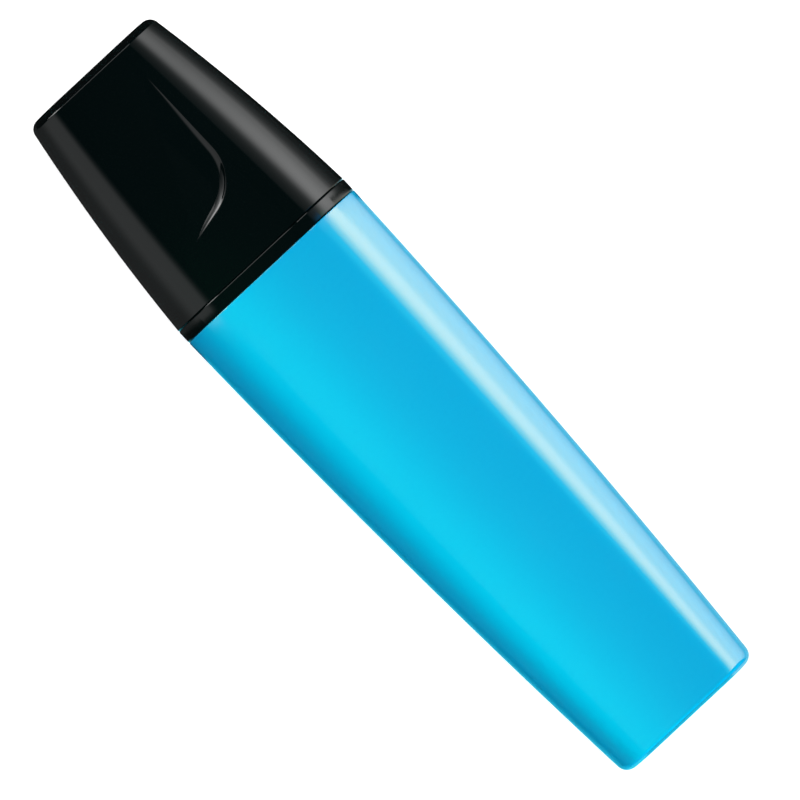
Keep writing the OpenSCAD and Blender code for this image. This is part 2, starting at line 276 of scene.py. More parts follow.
class Loft:
    """A shell that grows from ring to ring along the pen."""

    def __init__(self, bm: BMesh, ring: Ring, side_steps: int = 44) -> None:
        """Draws the first ring: two half turns, drawn out to the ring's sides and joined by two flats.

        Args:
            bm: Mesh that the shell is made in.
            ring: Place and size of the first ring.
            side_steps: Edges round each side.
        """
        self.bm = bm
        self.way = bm.verts.layers.int.new("way")
        self.ring = ring
        halves = [self._half(ring, way, side_steps) for way in (1, -1)]
        for ends in zip(halves[0][-2:], reversed(halves[1][-2:])):
            bmesh.ops.contextual_create(bm, geom=list(ends))
        self.verts = list(bm.verts)
        self.edges = list(bm.edges)

    def _half(self, ring: Ring, way: int, side_steps: int) -> list[BMVert]:
        """Spins one half of the first ring.

        Args:
            ring: Place and size of the ring.
            way: 1 for the half on +Y, -1 for the other.
            side_steps: Edges round the half.

        Returns:
            The half's vertices, its first and last ones at the end of the list.
        """
        before = set(self.bm.verts)
        start = bmesh.ops.create_vert(self.bm, co=(ring.x, 0, -way))["vert"][0]
        last = bmesh.ops.spin(
            self.bm, geom=[start], cent=(ring.x, 0, 0), axis=(1, 0, 0), angle=math.pi, steps=side_steps
        )["geom_last"]
        end = next(item for item in last if isinstance(item, BMVert))
        verts = [vert for vert in self.bm.verts if vert not in before]
        for vert in verts:
            vert[self.way] = way
        self._stretch(verts, Ring(ring.x, 1, 1), ring, way)
        middle = [vert for vert in verts if vert not in (start, end)]
        return [*middle, start, end]

    def _stretch(self, verts: list[BMVert], old: Ring, new: Ring, way: int) -> None:
        """Moves one half of a ring from its old place, size and power to the new ones."""
        at_old = Matrix.Translation((-old.x, -way * old.flat, 0))
        size = (1, new.side / old.side, new.half_thickness / old.half_thickness)
        bmesh.ops.scale(self.bm, vec=size, space=at_old, verts=verts)
        bmesh.ops.translate(self.bm, vec=(new.x - old.x, way * (new.flat - old.flat), 0), verts=verts)
        if new.power != old.power:
            for vert in verts:
                share = min(abs(vert.co.y - way * new.flat) / new.side, 1.0)
                vert.co.z = math.copysign(new.half_thickness * math.sqrt(1 - share**new.power), vert.co.z)

    def grow(self, rings: Iterable[Ring]) -> "Loft":
        """Extrudes the last ring from place to place.

        Args:
            rings: Places and sizes in turn.

        Returns:
            The loft itself.
        """
        for ring in rings:
            geom = bmesh.ops.extrude_edge_only(self.bm, edges=self.edges)["geom"]
            self.verts = [item for item in geom if isinstance(item, BMVert)]
            self.edges = [item for item in geom if isinstance(item, BMEdge) and item.is_boundary]
            for way in (1, -1):
                half = [vert for vert in self.verts if vert[self.way] == way]
                self._stretch(half, self.ring, ring, way)
            self.ring = ring
        return self

    def close(self) -> "Loft":
        """Fills the last ring with one face and gives the loft back."""
        bmesh.ops.contextual_create(self.bm, geom=self.edges)
        return self

    def finish(self) -> None:
        """Merges what a round ring has doubled and drops the marks of the two halves."""
        self.bm.verts.layers.int.remove(self.way)
        bmesh.ops.remove_doubles(self.bm, verts=self.bm.verts, dist=TOUCHING)


def quarter_round(radius: float, count: int) -> list[tuple[float, float]]:
    """Gives the steps of a rounded edge, from its end face to its side, as depths and insets."""
    angles = [math.pi / 2 * (1 - i / count) for i in range(count + 1)]
    return [(radius * (1 - math.sin(a)), radius * (1 - math.cos(a))) for a in angles]


def turn_depths(radius: float, count: int) -> list[float]:
    """Gives the depths of count even turns round an edge, from its end face on."""
    return [radius * (1 - math.cos(math.pi / 2 * i / count)) for i in range(count + 1)]


@dataclass(frozen=True)
class CrownedEnd:
    """A closed end of the pen: a low crown with a flat middle, rounded corners and rounded edges.

    Depths are counted from the end into the pen.
    """

    corner: float
    crown: float
    edge: float
    flat: float = 0.5

    @property
    def reach(self) -> float:
        """Depth at which the end has run into the long sides and the broad faces."""
        return max(self.corner, self.crown + self.edge)

    def depths(self, corner_steps: int = 10, edge_steps: int = 8) -> list[float]:
        """Gives the depths of the end's rings, close together where it turns.

        Args:
            corner_steps: Steps round a corner.
            edge_steps: Steps round an edge.

        Returns:
            The depths in rising order.
        """
        corner = turn_depths(self.corner, corner_steps)
        edge = [self.crown + depth for depth in turn_depths(self.edge, edge_steps)]
        return sorted({round(depth, 2) for depth in (*corner, *edge, self.reach)})

    def inset(self, depth: float) -> float:
        """Gives how far the end draws the long sides in at a depth."""
        left = max(self.corner - depth, 0.0)
        return self.corner - math.sqrt(self.corner**2 - left**2)

    def drop(self, depth: float, half: float) -> float:
        """Gives how far the end lies below a broad face at a depth.

        Args:
            depth: Depth from the end.
            half: Half thickness of the pen there.

        Returns:
            The distance below the broad face.
        """
        rise = 1 - self.flat**2
        lean = math.atan(2 * self.crown / (half * rise))
        top = half - self.edge * (1 - math.sin(lean))
        if depth < self.crown:
            return half - top * math.sqrt(self.flat**2 + rise * depth / self.crown)
        cosine = max(math.cos(lean) - (depth - self.crown) / self.edge, 0.0)
        return self.edge * (1 - math.sqrt(1 - cosine**2))


def bead(middle: float, half: float, height: float, count: int = 8) -> list[tuple[float, float]]:
    """Gives the steps of a smooth snap bead as places along the pen and heights."""
    return [
        (middle + half * (2 * i / count - 1), height * math.sin(math.pi * i / count) ** 2)
        for i in range(count + 1)
    ]


# Finishes

# Places of a Mix node's sockets when it mixes colours, which share their names with its other sockets
MIX_COLOUR_INPUTS = (0, 6, 7)
MIX_COLOUR_OUTPUT = 2

# Grains per metre in the skin of moulded plastic
FLOW_GRAIN = 60
PEEL_GRAIN = 520
HAIRLINE_GRAIN = 2600
RUB_GRAIN = 140

# Grains per metre in bundled fibre
STRAND_GRAIN = 5200
WET_GRAIN = 420


class Graph:
    """Adds and joins the nodes of one shader tree."""

    def __init__(self, tree: bpy.types.NodeTree) -> None:
        """Keeps the tree that the nodes go into."""
        self.tree = tree

    def add(self, kind: str, inputs: dict[str, Any] | None = None, **settings: Any) -> bpy.types.Node:
        """Adds one node.

        Args:
            kind: Blender's name for the node.
            inputs: Values or sockets for its inputs, by name.
            settings: Properties of the node.

        Returns:
            The new node.
        """
        node = self.tree.nodes.new(kind)
        for name, value in settings.items():
            setattr(node, name, value)
        for name, value in (inputs or {}).items():
            self.feed(node.inputs[name], value)
        return node

    def feed(self, socket: bpy.types.NodeSocket, value: Any) -> None:
        """Links an input to another node's socket, or sets it to a plain value."""
        if isinstance(value, bpy.types.NodeSocket):
            self.tree.links.new(value, socket)
        else:
            socket.default_value = value

    def noise(self, scale: float, stretch: Point = (1, 1, 1), detail: float = 2.0) -> bpy.types.NodeSocket:
        """Adds a noise on the piece's own coordinates.

        Args:
            scale: Grains per metre.
            stretch: Share of that scale along each axis.
            detail: Layers of finer grain.

        Returns:
            The socket with the noise's value.
        """
        coords = self.add("ShaderNodeTexCoord")
        mapping = self.add("ShaderNodeMapping", {"Vector": coords.outputs["Object"], "Scale": stretch})
        noise = self.add(
            "ShaderNodeTexNoise", {"Vector": mapping.outputs["Vector"], "Scale": scale, "Detail": detail}
        )
        return noise.outputs["Fac"]

    def between(
        self, value: Any, low: float, high: float, span: tuple[float, float]
    ) -> bpy.types.NodeSocket:
        """Maps a value from one range to another.

        Args:
            value: Socket to map.
            low: Result at the start of the span.
            high: Result at its end.
            span: Start and end of the range that is read.

        Returns:
            The socket with the result.
        """
        node = self.add(
            "ShaderNodeMapRange",
            {"Value": value, "From Min": span[0], "From Max": span[1], "To Min": low, "To Max": high},
        )
        return node.outputs["Result"]

    def blend(self, share: Any, first: Any, second: Any) -> bpy.types.NodeSocket:
        """Mixes two colours by a share and gives the socket with the result."""
        node = self.add("ShaderNodeMix", data_type="RGBA")
        for place, value in zip(MIX_COLOUR_INPUTS, (share, first, second)):
            self.feed(node.inputs[place], value)
        return node.outputs[MIX_COLOUR_OUTPUT]

    def mix_shaders(
        self, share: Any, first: bpy.types.Node, second: bpy.types.Node
    ) -> bpy.types.NodeSocket:
        """Mixes two shaders by a share and gives the socket with the result."""
        node = self.add("ShaderNodeMixShader")
        for socket, value in zip(node.inputs, (share, first.outputs[0], second.outputs[0])):
            self.feed(socket, value)
        return node.outputs[0]

    def curve(self, value: Any, points: Curve) -> bpy.types.NodeSocket:
        """Runs a value along straight lines between points.

        Args:
            value: Socket to run.
            points: Pairs of a value and a result, in rising order.

        Returns:
            The socket with the result.
        """
        low, high = points[0][0], points[-1][0]
        peak = max(result for _, result in points)
        ramp = self.add("ShaderNodeValToRGB", {"Fac": self.between(value, 0, 1, (low, high))})
        stops = ramp.color_ramp.elements
        for place, _ in points[1:-1]:
            stops.new((place - low) / (high - low))
        for stop, (_, result) in zip(stops, points):
            stop.color = (*[result / peak] * 3, 1)
        return self.math("MULTIPLY", ramp.outputs["Color"], peak)

    def math(self, operation: str, first: Any, second: Any) -> bpy.types.NodeSocket:
        """Joins two values by an operation of arithmetic and gives the socket with the result."""
        node = self.add("ShaderNodeMath", operation=operation)
        for socket, value in zip(node.inputs, (first, second)):
            self.feed(socket, value)
        return node.outputs[0]


@dataclass(frozen=True)
class Effect:
    """A shared shader group: its name, its inputs and outputs, and what fills it."""

    name: str
    inputs: tuple[tuple[str, str], ...]
    outputs: tuple[tuple[str, str], ...]
    fill: Callable[[Graph, bpy.types.Node], dict[str, bpy.types.NodeSocket]]

    def group(self) -> bpy.types.NodeTree:
        """Gives the group, which is built when it is first asked for.

        Returns:
            The shader group.
        """
        if self.name in bpy.data.node_groups:
            return bpy.data.node_groups[self.name]
        tree = bpy.data.node_groups.new(self.name, "ShaderNodeTree")
        for direction, sockets in (("INPUT", self.inputs), ("OUTPUT", self.outputs)):
            for name, kind in sockets:
                tree.interface.new_socket(name, in_out=direction, socket_type=f"NodeSocket{kind}")
        graph = Graph(tree)
        results = self.fill(graph, graph.add("NodeGroupInput"))
        graph.add("NodeGroupOutput", results)
        return tree

    def place(self, graph: Graph, inputs: dict[str, Any]) -> bpy.types.Node:
        """Places the group in a material.

        Args:
            graph: Tree of the material.
            inputs: Values for the group's inputs.

        Returns:
            The group's node.
        """
        return graph.add("ShaderNodeGroup", inputs, node_tree=self.group())


def fill_moulded_skin(graph: Graph, given: bpy.types.Node) -> dict[str, bpy.types.NodeSocket]:
    """Fills the skin of moulded plastic: slow flow of its tint, fine peel and hairlines from handling.

    Args:
        graph: Tree of the group.
        given: The group's inputs.

    Returns:
        The sockets for the group's outputs.
    """
    flow = graph.noise(FLOW_GRAIN, stretch=(0.35, 1, 1), detail=3)
    share = graph.between(flow, 0, 1, span=(0.35, 0.65))
    tint = graph.blend(share, given.outputs["Colour"], given.outputs["Flow Colour"])
    peel = graph.noise(PEEL_GRAIN, detail=1)
    hairlines = graph.noise(HAIRLINE_GRAIN, stretch=(0.04, 1, 1), detail=1)
    rubbed = graph.between(graph.noise(RUB_GRAIN), 0, 1, span=(0.42, 0.72))
    scuff = graph.math("MULTIPLY", graph.between(hairlines, 0, 1, span=(0.55, 0.8)), rubbed)
    extra = graph.math("MULTIPLY", scuff, given.outputs["Scuff"])
    scratch = graph.math("MULTIPLY", scuff, 0.2)
    return {
        "Colour": tint,
        "Roughness": graph.math("ADD", given.outputs["Roughness"], extra),
        "Height": graph.math("SUBTRACT", peel, scratch),
    }


MOULDED_SKIN = Effect(
    "Moulded skin",
    (("Colour", "Color"), ("Flow Colour", "Color"), ("Roughness", "Float"), ("Scuff", "Float")),
    (("Colour", "Color"), ("Roughness", "Float"), ("Height", "Float")),
    fill_moulded_skin,
)


def fill_fibre_strands(graph: Graph, given: bpy.types.Node) -> dict[str, bpy.types.NodeSocket]:
    """Fills bundled fibre: long strands with darker gaps, wetter in places.

    Args:
        graph: Tree of the group.
        given: The group's inputs.

    Returns:
        The sockets for the group's outputs.
    """
    strands = graph.noise(STRAND_GRAIN, stretch=(0.05, 1, 1))
    wet = graph.noise(WET_GRAIN, stretch=(0.4, 1, 1), detail=3)
    share = graph.between(strands, 0, 1, span=(0.38, 0.6))
    dry = graph.blend(share, given.outputs["Gap Colour"], given.outputs["Colour"])
    soaked = graph.between(wet, 0, 0.45, span=(0.4, 0.7))
    return {
        "Colour": graph.blend(soaked, dry, given.outputs["Gap Colour"]),
        "Roughness": graph.between(wet, 0.85, 0.6, span=(0.35, 0.7)),
        "Height": strands,
    }


FIBRE_STRANDS = Effect(
    "Fibre strands",
    (("Colour", "Color"), ("Gap Colour", "Color")),
    (("Colour", "Color"), ("Roughness", "Float"), ("Height", "Float")),
    fill_fibre_strands,
)


def new_material(name: str) -> tuple[bpy.types.Material, Graph, bpy.types.Node]:
    """Starts a material.

    Args:
        name: Name of the material.

    Returns:
        The material, its graph and its Principled shader.
    """
    material = bpy.data.materials.new(name)
    material.use_nodes = True
    return material, Graph(material.node_tree), material.node_tree.nodes["Principled BSDF"]


def join_effect(graph: Graph, effect: bpy.types.Node, shader: bpy.types.Node, relief: float) -> None:
    """Joins an effect's colour, roughness and height to a shader.

    Args:
        graph: Tree of the material.
        effect: The placed group.
        shader: The Principled shader.
        relief: Height of the relief in metres.
    """
    height = effect.outputs["Height"]
    bump = graph.add("ShaderNodeBump", {"Height": height, "Strength": 1.0, "Distance": relief})
    graph.feed(shader.inputs["Base Color"], effect.outputs["Colour"])
    graph.feed(shader.inputs["Roughness"], effect.outputs["Roughness"])
    graph.feed(shader.inputs["Normal"], bump.outputs["Normal"])


@dataclass(frozen=True)
class PlasticFinish:
    """Moulded plastic: its tint, the tint of its flow marks, its gloss and its wear."""

    name: str
    colour: Colour
    flow_colour: Colour
    roughness: float
    scuff: float
    specular: float = 0.5
    gloss_tint: Colour = WHITE
    relief: float = 2e-6

    def material(self) -> bpy.types.Material:
        """Gives the material, which is built when it is first asked for.

        Returns:
            The material.
        """
        if self.name in bpy.data.materials:
            return bpy.data.materials[self.name]
        material, graph, shader = new_material(self.name)
        skin = MOULDED_SKIN.place(
            graph,
            {
                "Colour": (*self.colour, 1),
                "Flow Colour": (*self.flow_colour, 1),
                "Roughness": self.roughness,
                "Scuff": self.scuff,
            },
        )
        join_effect(graph, skin, shader, self.relief)
        shader.inputs["Specular IOR Level"].default_value = self.specular
        shader.inputs["Specular Tint"].default_value = (*self.gloss_tint, 1)
        return material


@dataclass(frozen=True)
class FibreFinish:
    """Bundled fibre soaked with ink: the tint of its strands and of the gaps between them."""

    name: str
    colour: Colour
    gap_colour: Colour
    relief: float = 4e-5
    sheen: float = 0.2

    def material(self) -> bpy.types.Material:
        """Gives the material of the fibre.

        Returns:
            The material.
        """
        material, graph, shader = new_material(self.name)
        strands = FIBRE_STRANDS.place(
            graph, {"Colour": (*self.colour, 1), "Gap Colour": (*self.gap_colour, 1)}
        )
        join_effect(graph, strands, shader, self.relief)
        shader.inputs["Sheen Weight"].default_value = self.sheen
        return material


Finish = PlasticFinish | FibreFinish

CYAN_GLOSS = PlasticFinish(
    "Cyan gloss plastic",
    (0.0, 0.40, 0.74),
    (0.0, 0.39, 0.725),
    roughness=0.06,
    scuff=0.04,
    specular=0.8,
    gloss_tint=(1.0, 0.78, 0.2),
)
BLACK_GLOSS = PlasticFinish(
    "Black gloss plastic",
    (0.0008, 0.003, 0.0032),
    (0.001, 0.0034, 0.0036),
    roughness=0.06,
    scuff=0.04,
    specular=0.235,
)
BLACK_SATIN = PlasticFinish(
    "Black satin plastic",
    (0.02, 0.023, 0.025),
    (0.026, 0.029, 0.031),
    roughness=0.42,
    scuff=0.1,
    relief=6e-6,
)
CLEAR_FILM = PlasticFinish(
    "Ink core film",
    (0.72, 0.80, 0.84),
    (0.62, 0.74, 0.80),
    roughness=0.3,
    scuff=0.15,
    relief=1.5e-5,
)
NIB_FIBRE = FibreFinish("Nib fibre", (0.20, 0.62, 0.80), (0.03, 0.36, 0.62))
CORE_FIBRE = FibreFinish("Ink core fibre", (0.12, 0.55, 0.80), (0.03, 0.34, 0.62), relief=8e-5)


# Pieces


@dataclass
class SubAssembly:
    """Pieces that are modelled together round the pen's axis."""

    form: PenForm
    pieces: list[bpy.types.Object] = field(default_factory=list, init=False)

    def build(self) -> None:
        """Models the pieces."""
        raise NotImplementedError

    def dress(self) -> None:
        """Gives the pieces their finishes."""
        raise NotImplementedError

    def laid_down(self, bm: BMesh, name: str) -> bpy.types.Object:
        """Lays a mesh in the frame.

        Args:
            bm: The mesh in millimetres on the pen's axis, which is freed.
            name: Name of the object.

        Returns:
            The new object, at the origin, with its place in its mesh.
        """
        bmesh.ops.scale(bm, vec=(MM, MM, MM), verts=bm.verts)
        bmesh.ops.translate(bm, vec=(self.form.rear, 0, self.form.axis), verts=bm.verts)
        mesh = bpy.data.meshes.new(name)
        bm.to_mesh(mesh)
        bm.free()
        item = bpy.data.objects.new(name, mesh)
        bpy.context.scene.collection.objects.link(item)
        return item

    def carve(self, piece: bpy.types.Object, cutter: BMesh) -> None:
        """Cuts a shape out of a piece for good.

        Args:
            piece: The piece.
            cutter: The shape in millimetres on the pen's axis, which is freed.
        """
        bmesh.ops.recalc_face_normals(cutter, faces=cutter.faces)
        tool = self.laid_down(cutter, "cutter")
        cut = piece.modifiers.new("Cut", "BOOLEAN")
        cut.object = tool
        cut.solver = "EXACT"
        whole = piece.data
        piece.data = bpy.data.meshes.new_from_object(
            piece.evaluated_get(bpy.context.evaluated_depsgraph_get())
        )
        piece.modifiers.remove(cut)
        for mesh in (tool.data, whole):
            bpy.data.meshes.remove(mesh)

    def publish(
        self, bm: BMesh, name: str, body: Body, slot: str, node: str = "", cutters: Iterable[BMesh] = ()
    ) -> None:
        """Makes a finished mesh a piece of the pen.

        Args:
            bm: The mesh in millimetres on the pen's axis, which is freed.
            name: Name of the piece.
            body: Body that it rides on.
            slot: Not used.
            node: Node of the frame that it stands for, if any.
            cutters: Shapes that are cut out of it.
        """
        bmesh.ops.recalc_face_normals(bm, faces=bm.faces)
        piece = self.laid_down(bm, name)
        for cutter in cutters:
            self.carve(piece, cutter)
        piece.data.name = name
        piece.data.shade_smooth()
        piece.data.set_sharp_from_angle(angle=math.radians(SHARP_TURN))
        even = piece.modifiers.new("Even shading", "WEIGHTED_NORMAL")
        even.keep_sharp = True
        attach(piece, body.value)
        if node:
            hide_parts(node)
        self.pieces.append(piece)

    def coat(self, piece: bpy.types.Object, finish: Finish) -> None:
        """Gives a piece one finish all over."""
        piece.data.materials.clear()
        piece.data.materials.append(finish.material())


@dataclass
class Barrel(SubAssembly):
    """The closed shell that holds the ink core."""

    rear: CrownedEnd = CrownedEnd(corner=1.4, crown=0.5, edge=0.4)
    rear_wall: float = 1.8
    mouth_lip: float = 0.1
    dimple_radius: float = 1.5
    dimple_depth: float = 0.3
    dimple_round: float = 0.1
    mouth_round: float = 0.2
    long_rows: int = 40
    inner_rows: int = 12
    lip_rows: int = 6
    mouth_rows: int = 4

    def build(self) -> None:
        """Models the shell in one loft, from the gate dimple over the outside to the inner end wall."""
        form = self.form
        wall = form.barrel_wall
        mouth = form.barrel_end
        bm = bmesh.new()
        loft = Loft(bm, self._dimple_ring(self.dimple_depth, -self.dimple_round)).close()
        loft.grow(
            [
                self._dimple_ring(self.dimple_depth - self.dimple_round, 0),
                self._dimple_ring(self.dimple_round, 0),
                self._dimple_ring(0, self.dimple_round),
            ]
        )
        loft.grow(
            form.barrel_ring(x, self.rear.inset(x), self.rear.drop(x, form.thickness / 2))
            for x in self.rear.depths()
        )
        sides = steps(self.rear.reach, mouth - self.mouth_lip, self.long_rows)
        loft.grow(form.barrel_ring(x) for x in sides)
        lip = quarter_round(self.mouth_lip, self.lip_rows)
        loft.grow(form.barrel_ring(mouth - depth, inset) for depth, inset in reversed(lip[:-1]))
        inner = quarter_round(self.mouth_round, self.mouth_rows)
        loft.grow(form.barrel_ring(mouth - depth, wall - inset) for depth, inset in inner)
        inside = steps(mouth - self.mouth_round, self.rear_wall, self.inner_rows)
        loft.grow(form.barrel_ring(x, wall) for x in inside)
        loft.close().finish()
        self.publish(bm, "barrel_shell", Body.PEN, "barrel_plastic", "barrel")

    def _dimple_ring(self, x: float, grow: float) -> Ring:
        """Gives a round ring of the gate dimple."""
        radius = self.dimple_radius + grow
        return Ring(x, radius, radius)

    def dress(self) -> None:
        """Gives the shell its cyan gloss."""
        self.coat(self.pieces[0], CYAN_GLOSS)


def rounded_bar(
    bm: BMesh, start: float, end: float, width: float, thickness: float, radius: float, round_steps: int = 8
) -> None:
    """Models a bar along the pen with rounded long edges.

    Args:
        bm: Mesh that the bar is made in.
        start: Place of its rear end.
        end: Place of its front end.
        width: Its size along Y.
        thickness: Its size along Z.
        radius: Radius of its edges.
        round_steps: Edges round each of them.
    """
    upright = Matrix.Translation((start, 0, 0)) @ Matrix.Rotation(math.pi / 2, 4, "Y")
    bmesh.ops.create_grid(bm, x_segments=1, y_segments=1, size=0.5, matrix=upright)
    bmesh.ops.scale(bm, vec=(1, width, thickness), verts=bm.verts)
    bmesh.ops.bevel(
        bm,
        geom=list(bm.verts),
        offset=radius,
        segments=round_steps,
        profile=0.5,
        affect="VERTICES",
        material=-1,
    )
    front = bmesh.ops.extrude_face_region(bm, geom=list(bm.faces), use_keep_orig=True)["geom"]
    moved = [item for item in front if isinstance(item, BMVert)]
    bmesh.ops.translate(bm, vec=(end - start, 0, 0), verts=moved)


@dataclass
class FrontSection(SubAssembly):
    """The moulding with plug, collar, neck and nib holder."""

    plug_fit: float = 0.04
    wall: float = 1.2
    neck_length: float = 5.0
    ledge: float = 1.3
    shoulder_length: float = 4.0
    seal_length: float = 3.5
    seal_radius: float = 4.172
    tip_radius: float = 3.522
    seat_width: float = 5.1
    seat_thickness: float = 3.7
    seat_round: float = 0.85
    vent_radius: float = 0.45
    vent_steps: int = 24
    collar_rows: int = 6
    lip_rows: int = 5
    shoulder_rows: int = 14

    def build(self) -> None:
        """Models the moulding in one loft from its hollow to the tip, and cuts the nib's seat out of it."""
        form = self.form
        plug_start, tip = form.reach("front_section")
        neck_front = form.collar_end + self.neck_length
        deck = neck_front - self.wall
        plug = form.barrel_wall + self.plug_fit
        bm = bmesh.new()
        loft = Loft(bm, form.cap_ring(deck, form.neck_inset + self.wall)).close()
        loft.grow(
            [
                form.cap_ring(form.collar_end, form.neck_inset + self.wall),
                form.barrel_ring(form.barrel_end, plug + self.wall),
                form.barrel_ring(plug_start, plug + self.wall),
                form.barrel_ring(plug_start, plug + form.lip_round),
                form.barrel_ring(plug_start + form.lip_round, plug),
                form.barrel_ring(form.barrel_end, plug),
            ]
        )
        self._grow_collar(loft)
        self._grow_neck(loft, neck_front)
        self._grow_holder(loft, neck_front, tip)
        loft.close().finish()
        cutters = self._seat_cutters(deck - form.lip_round, tip + form.lip_round)
        self.publish(bm, "front_moulding", Body.PEN, "black_plastic", "front_section", cutters)

    def _grow_collar(self, loft: Loft) -> None:
        """Grows the ring that shows between barrel and cap."""
        form = self.form
        lip = quarter_round(form.lip_round, self.collar_rows)
        loft.grow(form.collar_ring(form.barrel_end + depth, inset) for depth, inset in lip)
        loft.grow(form.collar_ring(form.collar_end - depth, inset) for depth, inset in reversed(lip))

    def _grow_neck(self, loft: Loft, neck_front: float) -> None:
        """Grows the neck with its snap bead, up to the ledge in front of it."""
        form = self.form
        snap = form.cap_start + form.snap_distance
        loft.grow([form.cap_ring(form.collar_end, form.neck_inset)])
        loft.grow(
            form.cap_ring(x, form.neck_inset - height)
            for x, height in bead(snap, form.bead_half, form.snap_bead)
        )
        lip = quarter_round(form.lip_round, self.lip_rows)
        loft.grow(
            form.cap_ring(neck_front - depth, form.neck_inset + inset) for depth, inset in reversed(lip)
        )

    def _grow_holder(self, loft: Loft, neck_front: float, tip: float) -> None:
        """Grows the shoulder, which turns from flat to round, and the tapering nib holder."""
        form = self.form
        base = form.cap_ring(neck_front, form.neck_inset + self.ledge)
        seal_start = neck_front + self.shoulder_length
        loft.grow([base])
        loft.grow(
            Ring(
                lerp(neck_front, seal_start, share),
                lerp(base.half_width, self.seal_radius, ease(share)),
                lerp(base.half_thickness, self.seal_radius, ease(share)),
                base.flat * (1 - ease(share)),
                lerp(base.power, 2.0, ease(share)),
            )
            for share in steps(0, 1, self.shoulder_rows)
        )
        loft.grow([Ring(seal_start + self.seal_length, self.seal_radius, self.seal_radius)])
        loft.grow(
            Ring(tip - depth, self.tip_radius - inset, self.tip_radius - inset)
            for depth, inset in reversed(quarter_round(form.lip_round, self.lip_rows))
        )

    def _seat_cutters(self, start: float, end: float) -> list[BMesh]:
        """Models what is cut out for the nib: its seat and an air groove on each broad side.

        Args:
            start: Place where the cut starts.
            end: Place where it ends.

        Returns:
            The shapes to cut.
        """
        seat = bmesh.new()
        rounded_bar(seat, start, end, self.seat_width, self.seat_thickness, self.seat_round)
        cutters = [seat]
        for face in Face:
            groove = bmesh.new()
            middle = ((start + end) / 2, 0, face.value * self.seat_thickness / 2)
            bmesh.ops.create_cone(
                groove,
                cap_ends=True,
                segments=self.vent_steps,
                radius1=self.vent_radius,
                radius2=self.vent_radius,
                depth=end - start,
                matrix=Matrix.Translation(middle) @ Matrix.Rotation(math.pi / 2, 4, "Y"),
            )
            cutters.append(groove)
        return cutters

    def dress(self) -> None:
        """Gives the moulding its black gloss."""
        self.coat(self.pieces[0], BLACK_GLOSS)


@dataclass
class Nib(SubAssembly):
    """The chisel-cut fibre nib."""

    width: float = 5.0
    thickness: float = 3.6
    edge_round: float = 0.8
    slant: float = 30.0
    writing_edge: float = 1.8
    chisel_length: float = 2.6
    worn_edge: float = 0.14
    worn_steps: int = 3
    worn_turn: float = 30.0

    def build(self) -> None:
        """Models the nib as a rounded bar that planes cut to its slanted writing edge and blunt tail."""
        tail, tip = self.form.reach("nib")
        bm = bmesh.new()
        rounded_bar(bm, tail, tip + self.chisel_length, self.width, self.thickness, self.edge_round)
        angle = math.radians(self.slant)
        taper = self.width * math.tan(angle) + self.chisel_length
        drop = (self.thickness - self.writing_edge) / 2
        self._cut(bm, (tip, self.width / 2, 0), (math.cos(angle), -math.sin(angle), 0))
        for face in Face:
            half_edge = face.value * self.writing_edge / 2
            self._cut(bm, (tip, 0, half_edge), (drop, 0, face.value * taper))
            self._cut(bm, (tail, 0, half_edge), (-drop, 0, face.value * self.chisel_length))
        bmesh.ops.recalc_face_normals(bm, faces=bm.faces)
        turn = math.radians(self.worn_turn)
        corners = [edge for edge in bm.edges if edge.calc_face_angle(0.0) > turn]
        bmesh.ops.bevel(
            bm,
            geom=corners,
            offset=self.worn_edge,
            segments=self.worn_steps,
            profile=0.5,
            affect="EDGES",
            material=-1,
            clamp_overlap=True,
        )
        self.publish(bm, "nib_chisel", Body.PEN, "nib_fibre", "nib")

    def _cut(self, bm: BMesh, point: Point, normal: Point) -> None:
        """Cuts away what lies beyond a plane and closes the cut.

        Args:
            bm: Mesh that is cut.
            point: A point of the plane.
            normal: The way that the cut part lies.
        """
        geom = [*bm.verts, *bm.edges, *bm.faces]
        cut = bmesh.ops.bisect_plane(bm, geom=geom, plane_co=point, plane_no=normal, clear_outer=True)
        bmesh.ops.contextual_create(bm, geom=[item for item in cut["geom_cut"] if isinstance(item, BMEdge)])

    def dress(self) -> None:
        """Gives the nib its ink-soaked fibre."""
        self.coat(self.pieces[0], NIB_FIBRE)


@dataclass
class InkCore(SubAssembly):
    """The fibre core and its film, which keep their forms from the frame."""

    def build(self) -> None:
        """Takes the two nodes of the frame as they are."""
        self.pieces.extend(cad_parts[name] for name in ("ink_reservoir", "reservoir_wrap"))

    def dress(self) -> None:
        """Gives the core its soaked fibre and the wrap its film."""
        core, wrap = self.pieces
        self.coat(core, CORE_FIBRE)
        self.coat(wrap, CLEAR_FILM)


